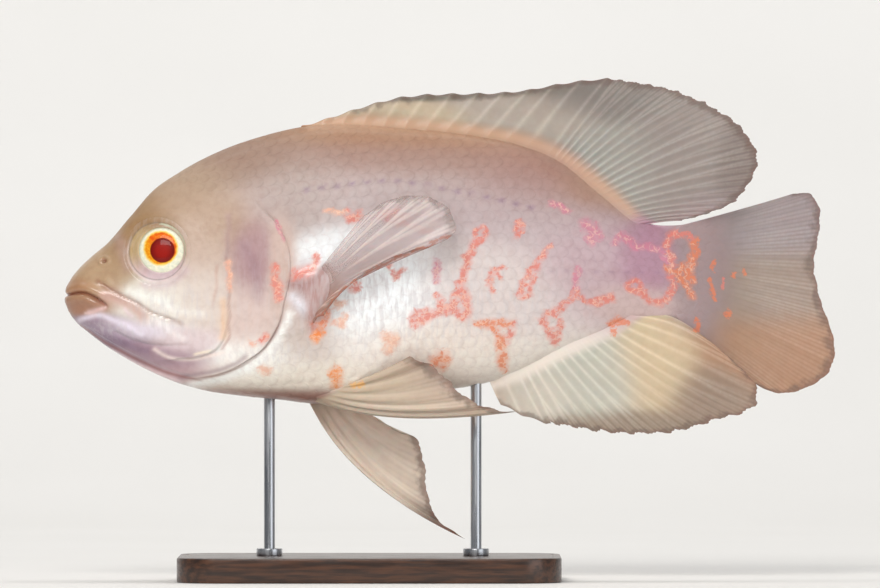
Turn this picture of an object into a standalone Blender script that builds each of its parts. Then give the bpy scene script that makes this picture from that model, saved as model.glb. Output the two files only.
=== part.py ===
"""An albino oscar cichlid, life size, swimming to the left over a plain display stand.

Metres, +Z up. The fish faces -X with its left side to -Y, and the origin is the middle of the
base's underside. Shapes are written in millimetres as (behind, height): how far a point lies
behind the tip of the snout, and how high it is above the level of the mouth. The function
place turns them into metres in the part's frame.
"""

import math

import bmesh
import bpy
import numpy as np
from mathutils import Vector

MM = 0.001

# Driving dimensions, in millimetres
MOUTH_LEVEL = 91.0  # height of the mouth above the floor
SNOUT_AHEAD = 98.5  # how far the snout tip is in front of the base's middle
CLEARANCE = 0.3  # gap between parts that touch
PEDUNCLE_END = 197.0  # standard length: snout tip to the root of the tail fin
BEND_START = 118.0  # where the backbone starts to turn away from the left side
BEND = 0.00105  # how fast it turns, per millimetre

# Outline of the body without its fins, from the snout back
TOP_LINE = (
    (0, 1.6), (0.5, 4.2), (1.4, 6.4), (3.4, 9.2), (7.8, 13.6), (14.3, 19.1), (20.8, 26.6), (27.2, 34.4),
    (37, 41.5), (50, 48.3), (63, 52.9), (76, 56.0), (89, 57.1), (108, 55.9), (134, 53.3),
    (147, 50.7), (160, 45.6), (173, 35.6), (186, 25.8), (191, 24.4), (PEDUNCLE_END, 24.2),
)
BOTTOM_LINE = (
    (0, 0.2), (0.5, -2.6), (1.4, -4.6), (3.0, -6.8), (5.5, -9.3), (11, -13.6), (17.5, -17.8), (30.5, -24.6),
    (43.5, -29.2), (56.5, -31.1), (69.5, -32.4), (81, -33.7), (92, -33.4), (108, -31.8),
    (121, -29.6), (137.5, -26.6), (147, -23.2), (160, -16.9), (173, -11.5), (184.5, -6.4),
    (PEDUNCLE_END, -6.8),
)
HALF_WIDTH = (
    (0, 1.0), (0.5, 3.4), (1.4, 5.2), (3.2, 7.3), (6, 9.2), (11, 10.9), (20, 13.4), (30, 15.8), (42, 17.8),
    (56, 19.3), (70, 19.8), (90, 19.3), (110, 17.8), (130, 15.4), (150, 12.0), (165, 9.2),
    (180, 6.8), (190, 5.2), (PEDUNCLE_END, 3.8),
)
WIDEST_LEVEL = (
    (0, 0.8), (11, 1.0), (30, 3.0), (60, 5.0), (90, 9.0), (130, 12.0), (160, 12.0), (PEDUNCLE_END, 8.7),
)
BACK_FULLNESS = ((0, 2.2), (30, 2.15), (70, 2.0), (120, 1.85), (160, 1.8), (PEDUNCLE_END, 2.0))
BELLY_FULLNESS = ((0, 2.3), (30, 2.3), (90, 2.3), (125, 2.0), (150, 1.75), (PEDUNCLE_END, 2.0))

# Lines of the head, each from its top end down
GILL_EDGE = (
    (55, 62), (57.5, 46), (60, 34), (63.8, 29.2), (68, 25), (70.6, 21), (72.4, 15.5), (72.8, 10),
    (72.2, 4.5), (71, 0), (69.4, -6.5), (66.8, -11.7), (63.6, -16), (59.5, -19), (54.5, -21.9),
    (50, -23.6), (44, -24.8), (38, -26.2), (33, -31),
)
CHEEK_EDGE = (
    (60, 28), (54, 25), (52, 18), (51.6, 12), (52.4, 4), (52.8, -4), (52.4, -11), (50, -15.5),
    (45, -17.8), (38, -18.5), (31, -20.5), (28, -24), (26, -31),
)
JAW_LINE = (
    (-6, 2.0), (0.6, 1.8), (3, 2.3), (6.2, 2.3), (9.6, 1.2), (13.6, -2.0), (16.5, -6.2), (21, -9.8),
    (27.5, -13), (33, -16), (33.5, -19.5), (27.5, -24), (24, -32),
)
MOUTH_CORNER = 14.5  # how far back the cleft of the mouth runs

# Each of these is a flattened ball in the side of the head: radius, depth, how far it stands out
EYE = (31.0, 16.2)
EYEBALL = (9.6, 5.4, 2.6)
LIDS = (12.5, 4.2, 1.5)
UPPER_LIP, LOWER_LIP = (1.7, 1.5), (-2.0, 1.8)  # distance from the cleft of the mouth, radius
LIP_RINGS, LIP_SIDES = 15, 8
LIP_FULLNESS = 1.1  # how much further a lip stands forward than it is high
NOSTRIL = (12.6, 12.6)
NOSTRIL_RADIUS = 0.8
GILL_COVER_THICKNESS = 3.0
COVER_DROP = 5.0  # how far the plate's rear corner reaches below the foot of the cheek's line
TAIL_CUT = 163.0  # where the trunk ends and the tail stalk begins
MIDDLE = 2.0  # the plates of the two sides stay this far off the middle of the head
BEYOND = 40.0  # a distance to the side that is clear of the whole body
AHEAD, ABOVE, REARMOST = -20.0, 80.0, 90.0  # places clear of the head, for cutting it
LINE_SPACING, JAW_LINE_SPACING = 2.2, 2.0  # one point to the next along a cut in the head
CHEEK_LINE_SPACING = 2.4

# Cross-sections of the body, by how far each lies behind the snout
HEAD_STATIONS = (0, 0.2, 0.7, 1.6, 3.0, 5.2, 8.0, 11.4, *np.arange(15, 77, 3.4))
TRUNK_STATIONS = (*np.arange(24, TAIL_CUT - 3, 6.2), TAIL_CUT - CLEARANCE / 2)
STALK_STATIONS = tuple(np.linspace(TAIL_CUT + CLEARANCE / 2, PEDUNCLE_END, 7))
CORE_STATIONS = tuple(np.arange(19, 80, 6))
HEAD_SIDES, BODY_SIDES, CORE_SIDES = 40, 36, 24

# Fins
DORSAL_START, DORSAL_END = 75.5, 187.0
DORSAL_SPINES, DORSAL_RAYS = 13, 20
DORSAL_SPINE_ROOTS_END = 156.0
DORSAL_SPINE_SHARE, DORSAL_RAY_SHARE = 0.515, 0.54  # of the margin: the last spine, the first ray
DORSAL_MARGIN = (
    (76.5, 56.6), (84, 58.8), (95, 62.4), (108, 65.9), (122, 67.1), (134, 67.2), (147, 67.9), (160, 70.2),
    (175, 72), (187, 71), (202, 67), (214, 61), (222, 53.5), (225, 47), (223.5, 39), (219, 33), (210, 28.2),
    (200, 25.6),
)
ANAL_START, ANAL_END = 137.0, 186.0
ANAL_SPINES, ANAL_RAYS = 3, 16
ANAL_SPINE_ROOTS_END = 146.0
ANAL_SPINE_SHARE, ANAL_RAY_SHARE = 0.14, 0.18
SPINE_TO_RAY = 2.4  # from the root of the last spine to that of the first soft ray
MIDLINE_FIN_ARCH = 0.06  # how far a ray bows, as a share of its length
ANAL_MARGIN = (
    (141, -34), (149, -38.2), (157, -40.6), (165, -42.2), (174, -43.6), (186, -44.2), (196, -44), (206, -41.5),
    (216, -38.6), (224, -36.4), (226, -32.4), (224.5, -27), (219, -22), (211, -17),
)
TAIL_FIN_RAYS = 16
TAIL_FIN_INSET = 1.0  # from the outline of the tail stalk to the root of the outermost ray
TAIL_FIN_WAVE = 1.2  # how far the tips sway off the backbone's bend
TAIL_FIN_BEND, TAIL_FIN_SPREAD = 0.45, 0.12
TAIL_FIN_MARGIN = (
    (239.6, 35.4), (244.5, 31), (245.2, 24), (244.6, 14), (245, 5), (247, -4), (249, -14), (250, -20),
    (247, -25.5), (240.5, -29), (232, -31.4), (226, -29.5),
)
SUNK = 1.2  # how far the root of a fin is sunk into the body before it is trimmed
MEMBRANE = 0.55  # thickness at the edge of a fin
MEMBRANE_TAPER = 0.6  # below 1, a fin thins out soon after its root
RIDGE = 0.4  # how far a ray stands out of each face of its fin
RIDGE_START, RIDGE_RISE = 0.2, 0.75  # where on its swell a ridge begins, and how far it runs
RIDGE_FOOT = 0.2  # half the width of a ray, as a share of the way to the next one
WEB_NOTCH = 0.05  # how far the edge between two rays is cut in, as a share of a ray's outer half
PECTORAL_ROOT = ((81.6, 8.5), (82.2, 0), (80.8, -9.5))
PECTORAL_MARGIN = (
    (97, 27), (105, 32.5), (114, 34), (122, 32), (126, 26), (126.3, 21), (121, 18), (112, 15.5),
    (103, 11.6), (94, 6), (88, 0.5), (84, -5),
)
PECTORAL_BOWS = ((0, 0), (-2.4, 3.2))
PECTORAL_RAYS = 13
PECTORAL_STAND_OFF = (5.0, 7.0)  # of the tips off the flank: at both ends, and more in between
PELVIC_ROOT = ((79.5, -32.4), (89.5, -28.4))
PELVIC_FOLDED_MARGIN = (
    (146.5, -36.4), (137, -34.2), (131, -31.5), (126, -27.5), (121, -22.5), (117, -19.2), (112, -17.8),
)
PELVIC_HANGING_MARGIN = (
    (130.3, -78), (120.5, -71), (117.5, -62), (116.7, -53), (114.8, -46), (112.5, -42.4), (107, -42.4),
)
PELVIC_FOLDED_BOWS, PELVIC_HANGING_BOWS = ((0, -5.5), (0, 0)), ((-6, -5), (0, 0))
PELVIC_RAYS = 6
FOLDED_STAND_OFF = (13.0, 7.0)  # of the first tip off the middle, and how much more the last has
HANGING_STAND_OFF = (12.0, -2.0)
PAIRED_FIN_LEAVE = 4.0  # how far a paired fin leaves the flank squarely before it turns back
PAIRED_FIN_BEND = (0.35, 0.2, 0.4)  # where its bend lies on the way to the tip: back, out, up
MIDLINE_FIN_ROOT, TAIL_FIN_ROOT, PAIRED_FIN_ROOT = 2.0, 2.4, 1.8  # thickness at the root
FIN_ROWS, PAIRED_FIN_ROWS = 4, 5
FIN_LEAN = 0.02  # how far the dorsal and anal fins lean to the left, per millimetre of their rays

# Stand
BASE_LENGTH, BASE_WIDTH, BASE_THICKNESS = 124.0, 72.0, 8.0
BASE_CORNER, BASE_BEVEL = 14.0, 1.2
CORNER_STEPS = 6
ROD_RADIUS = 1.8
ROD_PLACES = {"stand_rod_front": 66.0, "stand_rod_rear": 133.0}
ROD_SIDES = 16
COLLAR_RADIUS, COLLAR_HEIGHT = 4.2, 2.4

MATERIALS = {
    "skin": ((0.80, 0.62, 0.56), 0.35, 0.0),
    "gill_cover": ((0.80, 0.58, 0.52), 0.35, 0.0),
    "fin": ((0.70, 0.64, 0.56), 0.40, 0.0),
    "eye": ((0.75, 0.12, 0.03), 0.08, 0.0),
    "stand": ((0.06, 0.06, 0.06), 0.45, 0.0),
    "rod": ((0.65, 0.66, 0.68), 0.25, 1.0),
}


SHARP_ANGLE = math.radians(45)


def clear_scene():
    for obj in list(bpy.data.objects):
        bpy.data.objects.remove(obj, do_unlink=True)


def material(name):
    """The named Principled material, made the first time that it is asked for."""
    made = bpy.data.materials.get(name)
    if made:
        return made
    colour, roughness, metallic = MATERIALS[name]
    made = bpy.data.materials.new(name)
    made.use_nodes = True
    shader = made.node_tree.nodes["Principled BSDF"]
    shader.inputs["Base Color"].default_value = (*colour, 1.0)
    shader.inputs["Roughness"].default_value = roughness
    shader.inputs["Metallic"].default_value = metallic
    return made


def smooth(points):
    """A smooth function of the first coordinate through the points, by cubic Hermite spans."""
    x = np.array([p[0] for p in points], float)
    y = np.array([p[1] for p in points], float)
    slope = np.gradient(y, x)

    def value(at):
        at = np.clip(at, x[0], x[-1])
        i = np.clip(np.searchsorted(x, at, side="right") - 1, 0, len(x) - 2)
        span = x[i + 1] - x[i]
        t = (at - x[i]) / span
        start = (2 * t**3 - 3 * t**2 + 1) * y[i] + (t**3 - 2 * t**2 + t) * span * slope[i]
        end = (3 * t**2 - 2 * t**3) * y[i + 1] + (t**3 - t**2) * span * slope[i + 1]
        return start + end

    return value


def along(points, share):
    """The point at this share of the length of a smooth line through the points."""
    p = np.array(points, float)
    length = np.concatenate([[0], np.cumsum(np.linalg.norm(np.diff(p, axis=0), axis=1))])
    at = np.asarray(share) * length[-1]
    return np.array([smooth(np.column_stack([length, p[:, k]]))(at) for k in range(p.shape[1])]).T


top = smooth(TOP_LINE)
bottom = smooth(BOTTOM_LINE)
half_width = smooth(HALF_WIDTH)
widest_level = smooth(WIDEST_LEVEL)
back_fullness = smooth(BACK_FULLNESS)
belly_fullness = smooth(BELLY_FULLNESS)


def midline(behind):
    """How far the backbone has turned away from the left side."""
    return BEND * np.maximum(0, np.asarray(behind, float) - BEND_START) ** 2


def flank(behind, height):
    """How far the flesh reaches to each side of the backbone at this point of the outline."""
    level = widest_level(behind)
    up = height >= level
    reach = np.where(up, top(behind) - level, level - bottom(behind))
    fullness = np.where(up, back_fullness(behind), belly_fullness(behind))
    share = np.clip(np.abs(height - level) / reach, 0, 1)
    return half_width(behind) * (1 - share**fullness) ** (1 / fullness)


def place(behind, side, height):
    """A point of the fish in the part's frame, in metres. The left side is negative."""
    return Vector((behind - SNOUT_AHEAD, side, height + MOUTH_LEVEL)) * MM


def new_object(name, mesh_or_bmesh, finish, smooth_shading=True):
    """Links a mesh as a named object with its material."""
    mesh = mesh_or_bmesh
    if isinstance(mesh, bmesh.types.BMesh):
        mesh = bpy.data.meshes.new(name)
        mesh_or_bmesh.to_mesh(mesh)
        mesh_or_bmesh.free()
    obj = bpy.data.objects.new(name, mesh)
    bpy.context.scene.collection.objects.link(obj)
    obj.data.materials.append(material(finish))
    if smooth_shading:
        obj.data.shade_smooth()
        obj.data.set_sharp_from_angle(angle=SHARP_ANGLE)
    return obj


def boolean(obj, other, operation):
    """Applies one Boolean and removes the object that it used."""
    modifier = obj.modifiers.new(operation.title(), "BOOLEAN")
    modifier.operation = operation
    modifier.solver = "EXACT"
    modifier.object = other
    graph = bpy.context.evaluated_depsgraph_get()
    result = bpy.data.meshes.new_from_object(obj.evaluated_get(graph))
    obj.modifiers.clear()
    obj.data = result
    bpy.data.objects.remove(other, do_unlink=True)
    keep_largest(obj)


def keep_largest(obj):
    """Removes every loose scrap but the largest closed surface."""
    bm = bmesh.new()
    bm.from_mesh(obj.data)
    unseen = set(bm.verts)
    islands = []
    while unseen:
        stack = [unseen.pop()]
        island = set(stack)
        while stack:
            for edge in stack.pop().link_edges:
                for vert in edge.verts:
                    if vert in unseen:
                        unseen.discard(vert)
                        island.add(vert)
                        stack.append(vert)
        islands.append(island)
    largest = max(islands, key=len)
    scraps = [vert for island in islands if island is not largest for vert in island]
    bmesh.ops.delete(bm, geom=scraps, context="VERTS")
    bm.to_mesh(obj.data)
    bm.free()


def loft(name, stations, sides, finish, inset=0.0):
    """A closed skin through the body's cross-sections, drawn in by inset on every side."""
    bm = bmesh.new()
    rings = []
    for behind in stations:
        level = widest_level(behind)
        ring = []
        for step in range(sides):
            angle = 2 * math.pi * step / sides
            across, up = math.sin(angle), math.cos(angle)
            reach = top(behind) - level if up >= 0 else level - bottom(behind)
            fullness = back_fullness(behind) if up >= 0 else belly_fullness(behind)
            y = math.copysign(abs(across) ** (2 / fullness), across) * (half_width(behind) - inset)
            z = level + math.copysign(abs(up) ** (2 / fullness), up) * (reach - inset)
            ring.append(bm.verts.new(place(behind, y + midline(behind), z)))
        rings.append(ring)
    for front, rear in zip(rings, rings[1:]):
        for a, b, c, d in zip(front, front[1:] + front[:1], rear[1:] + rear[:1], rear):
            bm.faces.new((a, b, c, d))
    for ring in (rings[0], rings[-1]):
        bm.faces.new(ring)
    bmesh.ops.triangulate(bm, faces=bm.faces)
    bmesh.ops.recalc_face_normals(bm, faces=bm.faces)
    return new_object(name, bm, finish)


def rounded(points, spacing):
    """Points at about this spacing along a smooth line through the given ones."""
    length = np.linalg.norm(np.diff(np.array(points, float), axis=0), axis=1).sum()
    return along(points, np.linspace(0, 1, max(2, round(length / spacing))))


def moved_sideways(points, distance):
    """A line moved to its own left, seen with height up, by this distance."""
    direction = np.gradient(points, axis=0)
    normal = np.column_stack([-direction[:, 1], direction[:, 0]])
    return points + distance * unit(normal)


def prism(name, outline, near, far):
    """A closed block with this (behind, height) outline, from one side distance to another."""
    bm = bmesh.new()
    face = bm.faces.new([bm.verts.new(place(b, near, h)) for b, h in outline])
    pushed = bmesh.ops.extrude_face_region(bm, geom=[face])["geom"]
    verts = [item for item in pushed if isinstance(item, bmesh.types.BMVert)]
    bmesh.ops.translate(bm, verts=verts, vec=Vector((0, (far - near) * MM, 0)))
    bmesh.ops.triangulate(bm, faces=bm.faces)
    bmesh.ops.recalc_face_normals(bm, faces=bm.faces)
    return new_object(name, bm, "skin", smooth_shading=False)


def ball(name, spot, side, size, finish, rings=10, segments=20, grow=0.0):
    """A flattened ball in the side of the head, whose axis is square to the flesh there."""
    radius, depth, stands_out = size
    axis = Vector(surface_normal(*spot) * np.array((1, side, 1)))
    surface = Vector((spot[0], side * float(flank(*spot)), spot[1]))
    centre = surface + axis * (stands_out - depth)
    turn = Vector((0, 0, 1)).rotation_difference(axis)
    bm = bmesh.new()
    bmesh.ops.create_uvsphere(bm, u_segments=segments, v_segments=rings, radius=1)
    for vert in bm.verts:
        x, y, z = vert.co
        local = Vector((x * (radius + grow), y * (radius + grow), z * (depth + grow)))
        vert.co = place(*(centre + turn @ local))
    bmesh.ops.triangulate(bm, faces=bm.faces)
    bmesh.ops.recalc_face_normals(bm, faces=bm.faces)
    return new_object(name, bm, finish)


def duplicate(obj, name):
    copy = obj.copy()
    copy.data = obj.data.copy()
    copy.name = name
    bpy.context.scene.collection.objects.link(copy)
    return copy


def in_front_of(line, extra):
    """Outline of everything ahead of a line of the head, moved back by extra."""
    edge = moved_sideways(rounded(line, LINE_SPACING), extra)
    return [(AHEAD, ABOVE), *map(tuple, edge), (AHEAD, edge[-1][1])]


def build_head_and_body():
    """Models head and body whole, then parts them at the gill slit, jaw and tail stalk."""
    head = loft("head", HEAD_STATIONS, HEAD_SIDES, "skin")
    boolean(head, prism("ahead", in_front_of(GILL_EDGE, 0), -BEYOND, BEYOND), "INTERSECT")
    trunk = loft("trunk", TRUNK_STATIONS, BODY_SIDES, "skin")
    boolean(trunk, prism("ahead", in_front_of(GILL_EDGE, CLEARANCE), -BEYOND, BEYOND), "DIFFERENCE")
    loft("tail_stalk", STALK_STATIONS, BODY_SIDES, "skin")

    add_lips(head)
    jaw = duplicate(head, "lower_jaw")
    boolean(jaw, prism("below", below_jaw_line(0), -BEYOND, BEYOND), "INTERSECT")
    boolean(head, prism("below", below_jaw_line(CLEARANCE), -BEYOND, BEYOND), "DIFFERENCE")

    for side_name, side in (("left", -1), ("right", 1)):
        part_gill_cover(head, side_name, side)
        boolean(head, ball("lids", EYE, side, LIDS, "skin", rings=12, segments=28), "UNION")
        boolean(head, ball("eye_seat", EYE, side, EYEBALL, "skin", grow=CLEARANCE), "DIFFERENCE")
        ball(f"eye_{side_name}", EYE, side, EYEBALL, "eye")
        pit = (NOSTRIL_RADIUS, NOSTRIL_RADIUS, 0.0)
        boolean(head, ball("pit", NOSTRIL, side, pit, "skin", rings=6, segments=10), "DIFFERENCE")


def below_jaw_line(extra):
    """Outline of the lower jaw, grown by extra where it meets the head."""
    edge = moved_sideways(rounded(JAW_LINE, JAW_LINE_SPACING), extra)
    return [*map(tuple, edge), (JAW_LINE[0][0], edge[-1][1])]


def add_lips(head):
    """Rolls the upper and lower lip round the front of the mouth, sunk into the head."""
    for offset, radius in (UPPER_LIP, LOWER_LIP):
        boolean(head, lip(offset, radius), "UNION")


def lip(offset, radius):
    """A tapered roll beside the cleft of the mouth, from one corner round to the other."""
    bm = bmesh.new()
    cleft = rounded([p for p in JAW_LINE if 0 < p[0] < MOUTH_CORNER], CHEEK_LINE_SPACING)
    half = [(b + 0.5, radius / 2 - float(flank(b, h + offset)), h + offset) for b, h in cleft[::-1]]
    front = (radius, 0.0, cleft[0][1] + offset)
    line = half + [front] + [(b, -y, h) for b, y, h in half[::-1]]
    path = along(line, np.linspace(0, 1, LIP_RINGS))
    rings = []
    for k, point in enumerate(path):
        taper = math.sin(math.pi * (k + 0.6) / (len(path) + 0.2)) ** 0.4
        ahead = path[min(k + 1, len(path) - 1)] - path[max(k - 1, 0)]
        ahead = Vector(ahead).normalized()
        outward = ahead.cross(Vector((0, 0, 1))).normalized()
        upward = outward.cross(ahead)
        ring = []
        for step in range(LIP_SIDES):
            angle = 2 * math.pi * step / LIP_SIDES
            shift = outward * math.cos(angle) * LIP_FULLNESS + upward * math.sin(angle)
            shift = shift * radius * taper
            ring.append(bm.verts.new(place(*(Vector(point) + shift))))
        rings.append(ring)
    for one, two in zip(rings, rings[1:]):
        for a, b, c, d in zip(one, one[1:] + one[:1], two[1:] + two[:1], two):
            bm.faces.new((a, b, c, d))
    for ring in (rings[0], rings[-1]):
        bm.faces.new(ring)
    bmesh.ops.triangulate(bm, faces=bm.faces)
    bmesh.ops.recalc_face_normals(bm, faces=bm.faces)
    return new_object("lip", bm, "skin")


def part_gill_cover(head, side_name, side):
    """Takes one gill cover off the head as a plate, and leaves its seat open round it."""
    near, far = (MIDDLE, BEYOND) if side > 0 else (-BEYOND, -MIDDLE)

    def cover_block(extra):
        edge = moved_sideways(rounded(CHEEK_EDGE, CHEEK_LINE_SPACING), -extra)
        lowest, highest = CHEEK_EDGE[-1][1] - COVER_DROP, CHEEK_EDGE[0][1] + extra
        outline = [*map(tuple, edge), (REARMOST, lowest), (REARMOST, highest)]
        return prism("cover_block", outline, near, far)

    cover = duplicate(head, f"gill_cover_{side_name}")
    cover.data.materials[0] = material("gill_cover")
    boolean(cover, cover_block(0), "INTERSECT")
    core = loft("core", CORE_STATIONS, CORE_SIDES, "skin", GILL_COVER_THICKNESS)
    boolean(cover, core, "DIFFERENCE")
    seat = cover_block(CLEARANCE)
    deeper = loft("core", CORE_STATIONS, CORE_SIDES, "skin", GILL_COVER_THICKNESS + CLEARANCE)
    boolean(seat, deeper, "DIFFERENCE")
    boolean(head, seat, "DIFFERENCE")


def fin(name, roots, bends, tips, thickness, rows):
    """A fan of rays in one closed skin, from (behind, side, height) points for each ray.

    A ray runs from its root, past its bend, to its tip, and stands out as a ridge on both faces.
    The membrane between two rays thins from root to edge, and its edge is cut in a little.
    """
    lanes = ray_lanes(len(roots))
    sheet = np.zeros((len(lanes), rows + 1, 3))
    half = np.zeros((len(lanes), rows + 1))
    for i, lane in enumerate(lanes):
        root, bend, tip = (between_rays(line, lane) for line in (roots, bends, tips))
        off_crest = abs(lane - round(lane)) > 0
        if off_crest:
            tip = tip + (bend - tip) * WEB_NOTCH
        for j, t in enumerate(np.linspace(0, 1, rows + 1)):
            sheet[i, j] = root * (1 - t) ** 2 + bend * 2 * t * (1 - t) + tip * t**2
            half[i, j] = (thickness + (MEMBRANE - thickness) * t**MEMBRANE_TAPER) / 2
            if not off_crest:
                half[i, j] += RIDGE * math.sin(math.pi * (RIDGE_START + t * RIDGE_RISE))
    normal = unit(np.cross(np.gradient(sheet, axis=0), np.gradient(sheet, axis=1)))
    normal = unit(normal + unit(normal.sum(axis=(0, 1))))
    bm = bmesh.new()
    faces = []
    for sign in (1, -1):
        points = sheet + sign * normal * half[:, :, None]
        faces.append([[bm.verts.new(place(*point)) for point in lane] for lane in points])
    close_sheet(bm, *faces)
    bmesh.ops.recalc_face_normals(bm, faces=bm.faces)
    return new_object(name, bm, "fin")


def between_rays(points, lane):
    """The point at a lane, which may lie between two rays, from one point for each ray."""
    order = np.arange(len(points))
    return np.array([np.interp(lane, order, points[:, axis]) for axis in range(3)])


def unit(vectors):
    """The same directions, each of length one."""
    return vectors / np.linalg.norm(vectors, axis=-1, keepdims=True)


def ray_lanes(count):
    """Lanes across a fin: the crest of each ray, and the foot of its ridge on each side."""
    lanes = []
    for ray in range(count):
        lanes += [ray - RIDGE_FOOT] * (ray > 0) + [ray] + [ray + RIDGE_FOOT] * (ray < count - 1)
    return lanes


def close_sheet(bm, front, back):
    """Triangles alike on both faces of a sheet, and a rim round its edge."""
    lanes, rows = len(front), len(front[0])
    for i in range(lanes - 1):
        for j in range(rows - 1):
            for face in (front, back):
                bm.faces.new((face[i][j], face[i + 1][j], face[i + 1][j + 1]))
                bm.faces.new((face[i][j], face[i + 1][j + 1], face[i][j + 1]))
    rim = [(i, 0) for i in range(lanes)] + [(lanes - 1, j) for j in range(1, rows)]
    rim += [(i, rows - 1) for i in range(lanes - 2, -1, -1)] + [(0, j) for j in range(rows - 2, 0, -1)]
    for (i, j), (k, m) in zip(rim, rim[1:] + rim[:1]):
        bm.faces.new((front[i][j], front[k][m], back[k][m]))
        bm.faces.new((front[i][j], back[k][m], back[i][j]))


def seat_on_body(obj):
    """Trims the sunken root of a fin to the flesh that it grows from, with the clearance between."""
    stations = TRUNK_STATIONS + STALK_STATIONS[:-1] + (PEDUNCLE_END + CLEARANCE,)
    body = loft("body", stations, BODY_SIDES, "skin", inset=-CLEARANCE)
    boolean(obj, body, "DIFFERENCE")


def midline_fin(name, edge, spans, margin, lift):
    """The dorsal or anal fin, whose roots follow the edge of the body.

    Each span gives how many rays it has, where their roots start and end, and which share of
    the margin their tips take.
    """
    roots, tips = [], []
    for count, start, end, from_share, to_share in spans:
        shares = np.linspace(from_share, to_share, count)
        for behind, share in zip(np.linspace(start, end, count), shares):
            side = float(midline(behind))
            roots.append((behind, side, float(edge(behind)) - lift * SUNK))
            tip_behind, tip_height = along(margin, share)
            tips.append((tip_behind, side - FIN_LEAN * (tip_behind - behind), tip_height))
    roots, tips = np.array(roots), np.array(tips)
    bends = roots * 0.5 + tips * 0.5
    bends[:, 2] += lift * MIDLINE_FIN_ARCH * np.linalg.norm(tips - roots, axis=1)
    seat_on_body(fin(name, roots, bends, tips, MIDLINE_FIN_ROOT, FIN_ROWS))


def build_midline_fins():
    soft_start = DORSAL_SPINE_ROOTS_END + SPINE_TO_RAY
    spans = (
        (DORSAL_SPINES, DORSAL_START, DORSAL_SPINE_ROOTS_END, 0.0, DORSAL_SPINE_SHARE),
        (DORSAL_RAYS, soft_start, DORSAL_END, DORSAL_RAY_SHARE, 1.0),
    )
    midline_fin("dorsal_fin", top, spans, DORSAL_MARGIN, 1)
    soft_start = ANAL_SPINE_ROOTS_END + SPINE_TO_RAY
    spans = (
        (ANAL_SPINES, ANAL_START, ANAL_SPINE_ROOTS_END, 0.0, ANAL_SPINE_SHARE),
        (ANAL_RAYS, soft_start, ANAL_END, ANAL_RAY_SHARE, 1.0),
    )
    midline_fin("anal_fin", bottom, spans, ANAL_MARGIN, -1)


def build_tail_fin():
    """The tail fin fans out of the end of the tail stalk and carries on its bend."""
    end = PEDUNCLE_END
    highest, lowest = float(top(end)) - TAIL_FIN_INSET, float(bottom(end)) + TAIL_FIN_INSET
    heights = np.linspace(highest, lowest, TAIL_FIN_RAYS)
    roots = np.array([(end - SUNK, float(midline(end)), height) for height in heights])
    tips = []
    for share in np.linspace(0, 1, TAIL_FIN_RAYS):
        behind, height = along(TAIL_FIN_MARGIN, share)
        side = float(midline(behind)) - TAIL_FIN_WAVE * math.cos(2 * math.pi * share)
        tips.append((behind, side, height))
    tips = np.array(tips)
    bends = roots * (1 - TAIL_FIN_BEND) + tips * TAIL_FIN_BEND
    bends[:, 2] += TAIL_FIN_SPREAD * (roots[:, 2] - bends[:, 2])
    seat_on_body(fin("tail_fin", roots, bends, tips, TAIL_FIN_ROOT, FIN_ROWS))


def paired_fin(name, side, root_line, margin, rays, side_distance, bows):
    """A pectoral or pelvic fin. It leaves the flank squarely, then turns back to its margin.

    The bows are how far the bend of the first and of the last ray lies off its line, backward
    and upward.
    """
    roots, bends, tips = [], [], []
    for share in np.linspace(0, 1, rays):
        behind, height = along(root_line, share)
        out = float(flank(behind, height))
        tip_behind, tip_height = along(margin, share)
        root = np.array((behind, side * out, height))
        normal = surface_normal(behind, height) * np.array((1, side, 1))
        root = root - SUNK * normal
        tip_side = side * side_distance(tip_behind, tip_height, share)
        tip = np.array((tip_behind, tip_side, tip_height))
        bend = root + normal * PAIRED_FIN_LEAVE + (tip - root) * np.array(PAIRED_FIN_BEND)
        bow = (1 - share) * np.array(bows[0]) + share * np.array(bows[1])
        bend += np.array((bow[0], 0, bow[1]))
        roots.append(root)
        bends.append(bend)
        tips.append(tip)
    roots, bends, tips = np.array(roots), np.array(bends), np.array(tips)
    seat_on_body(fin(name, roots, bends, tips, PAIRED_FIN_ROOT, PAIRED_FIN_ROWS))


def surface_normal(behind, height):
    """The outward direction of the right flank there."""
    step = 0.4  # millimetres
    slope_back = (flank(behind + step, height) - flank(behind - step, height)) / (2 * step)
    slope_up = (flank(behind, height + step) - flank(behind, height - step)) / (2 * step)
    return unit(np.array((-slope_back, 1.0, -slope_up), float))


def build_paired_fins():
    for side_name, side in (("left", -1), ("right", 1)):

        def pectoral_tip(behind, height, share):
            ends, more = PECTORAL_STAND_OFF
            return float(flank(behind, height)) + ends + more * math.sin(math.pi * share)

        name = f"pectoral_fin_{side_name}"
        paired_fin(name, side, PECTORAL_ROOT, PECTORAL_MARGIN, PECTORAL_RAYS, pectoral_tip, PECTORAL_BOWS)

    def folded_tip(behind, height, share):
        return FOLDED_STAND_OFF[0] + FOLDED_STAND_OFF[1] * share

    def hanging_tip(behind, height, share):
        return HANGING_STAND_OFF[0] + HANGING_STAND_OFF[1] * share

    for name, side, margin, tip, bows in (
        ("pelvic_fin_left", -1, PELVIC_FOLDED_MARGIN, folded_tip, PELVIC_FOLDED_BOWS),
        ("pelvic_fin_right", 1, PELVIC_HANGING_MARGIN, hanging_tip, PELVIC_HANGING_BOWS),
    ):
        paired_fin(name, side, PELVIC_ROOT, margin, PELVIC_RAYS, tip, bows)


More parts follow.
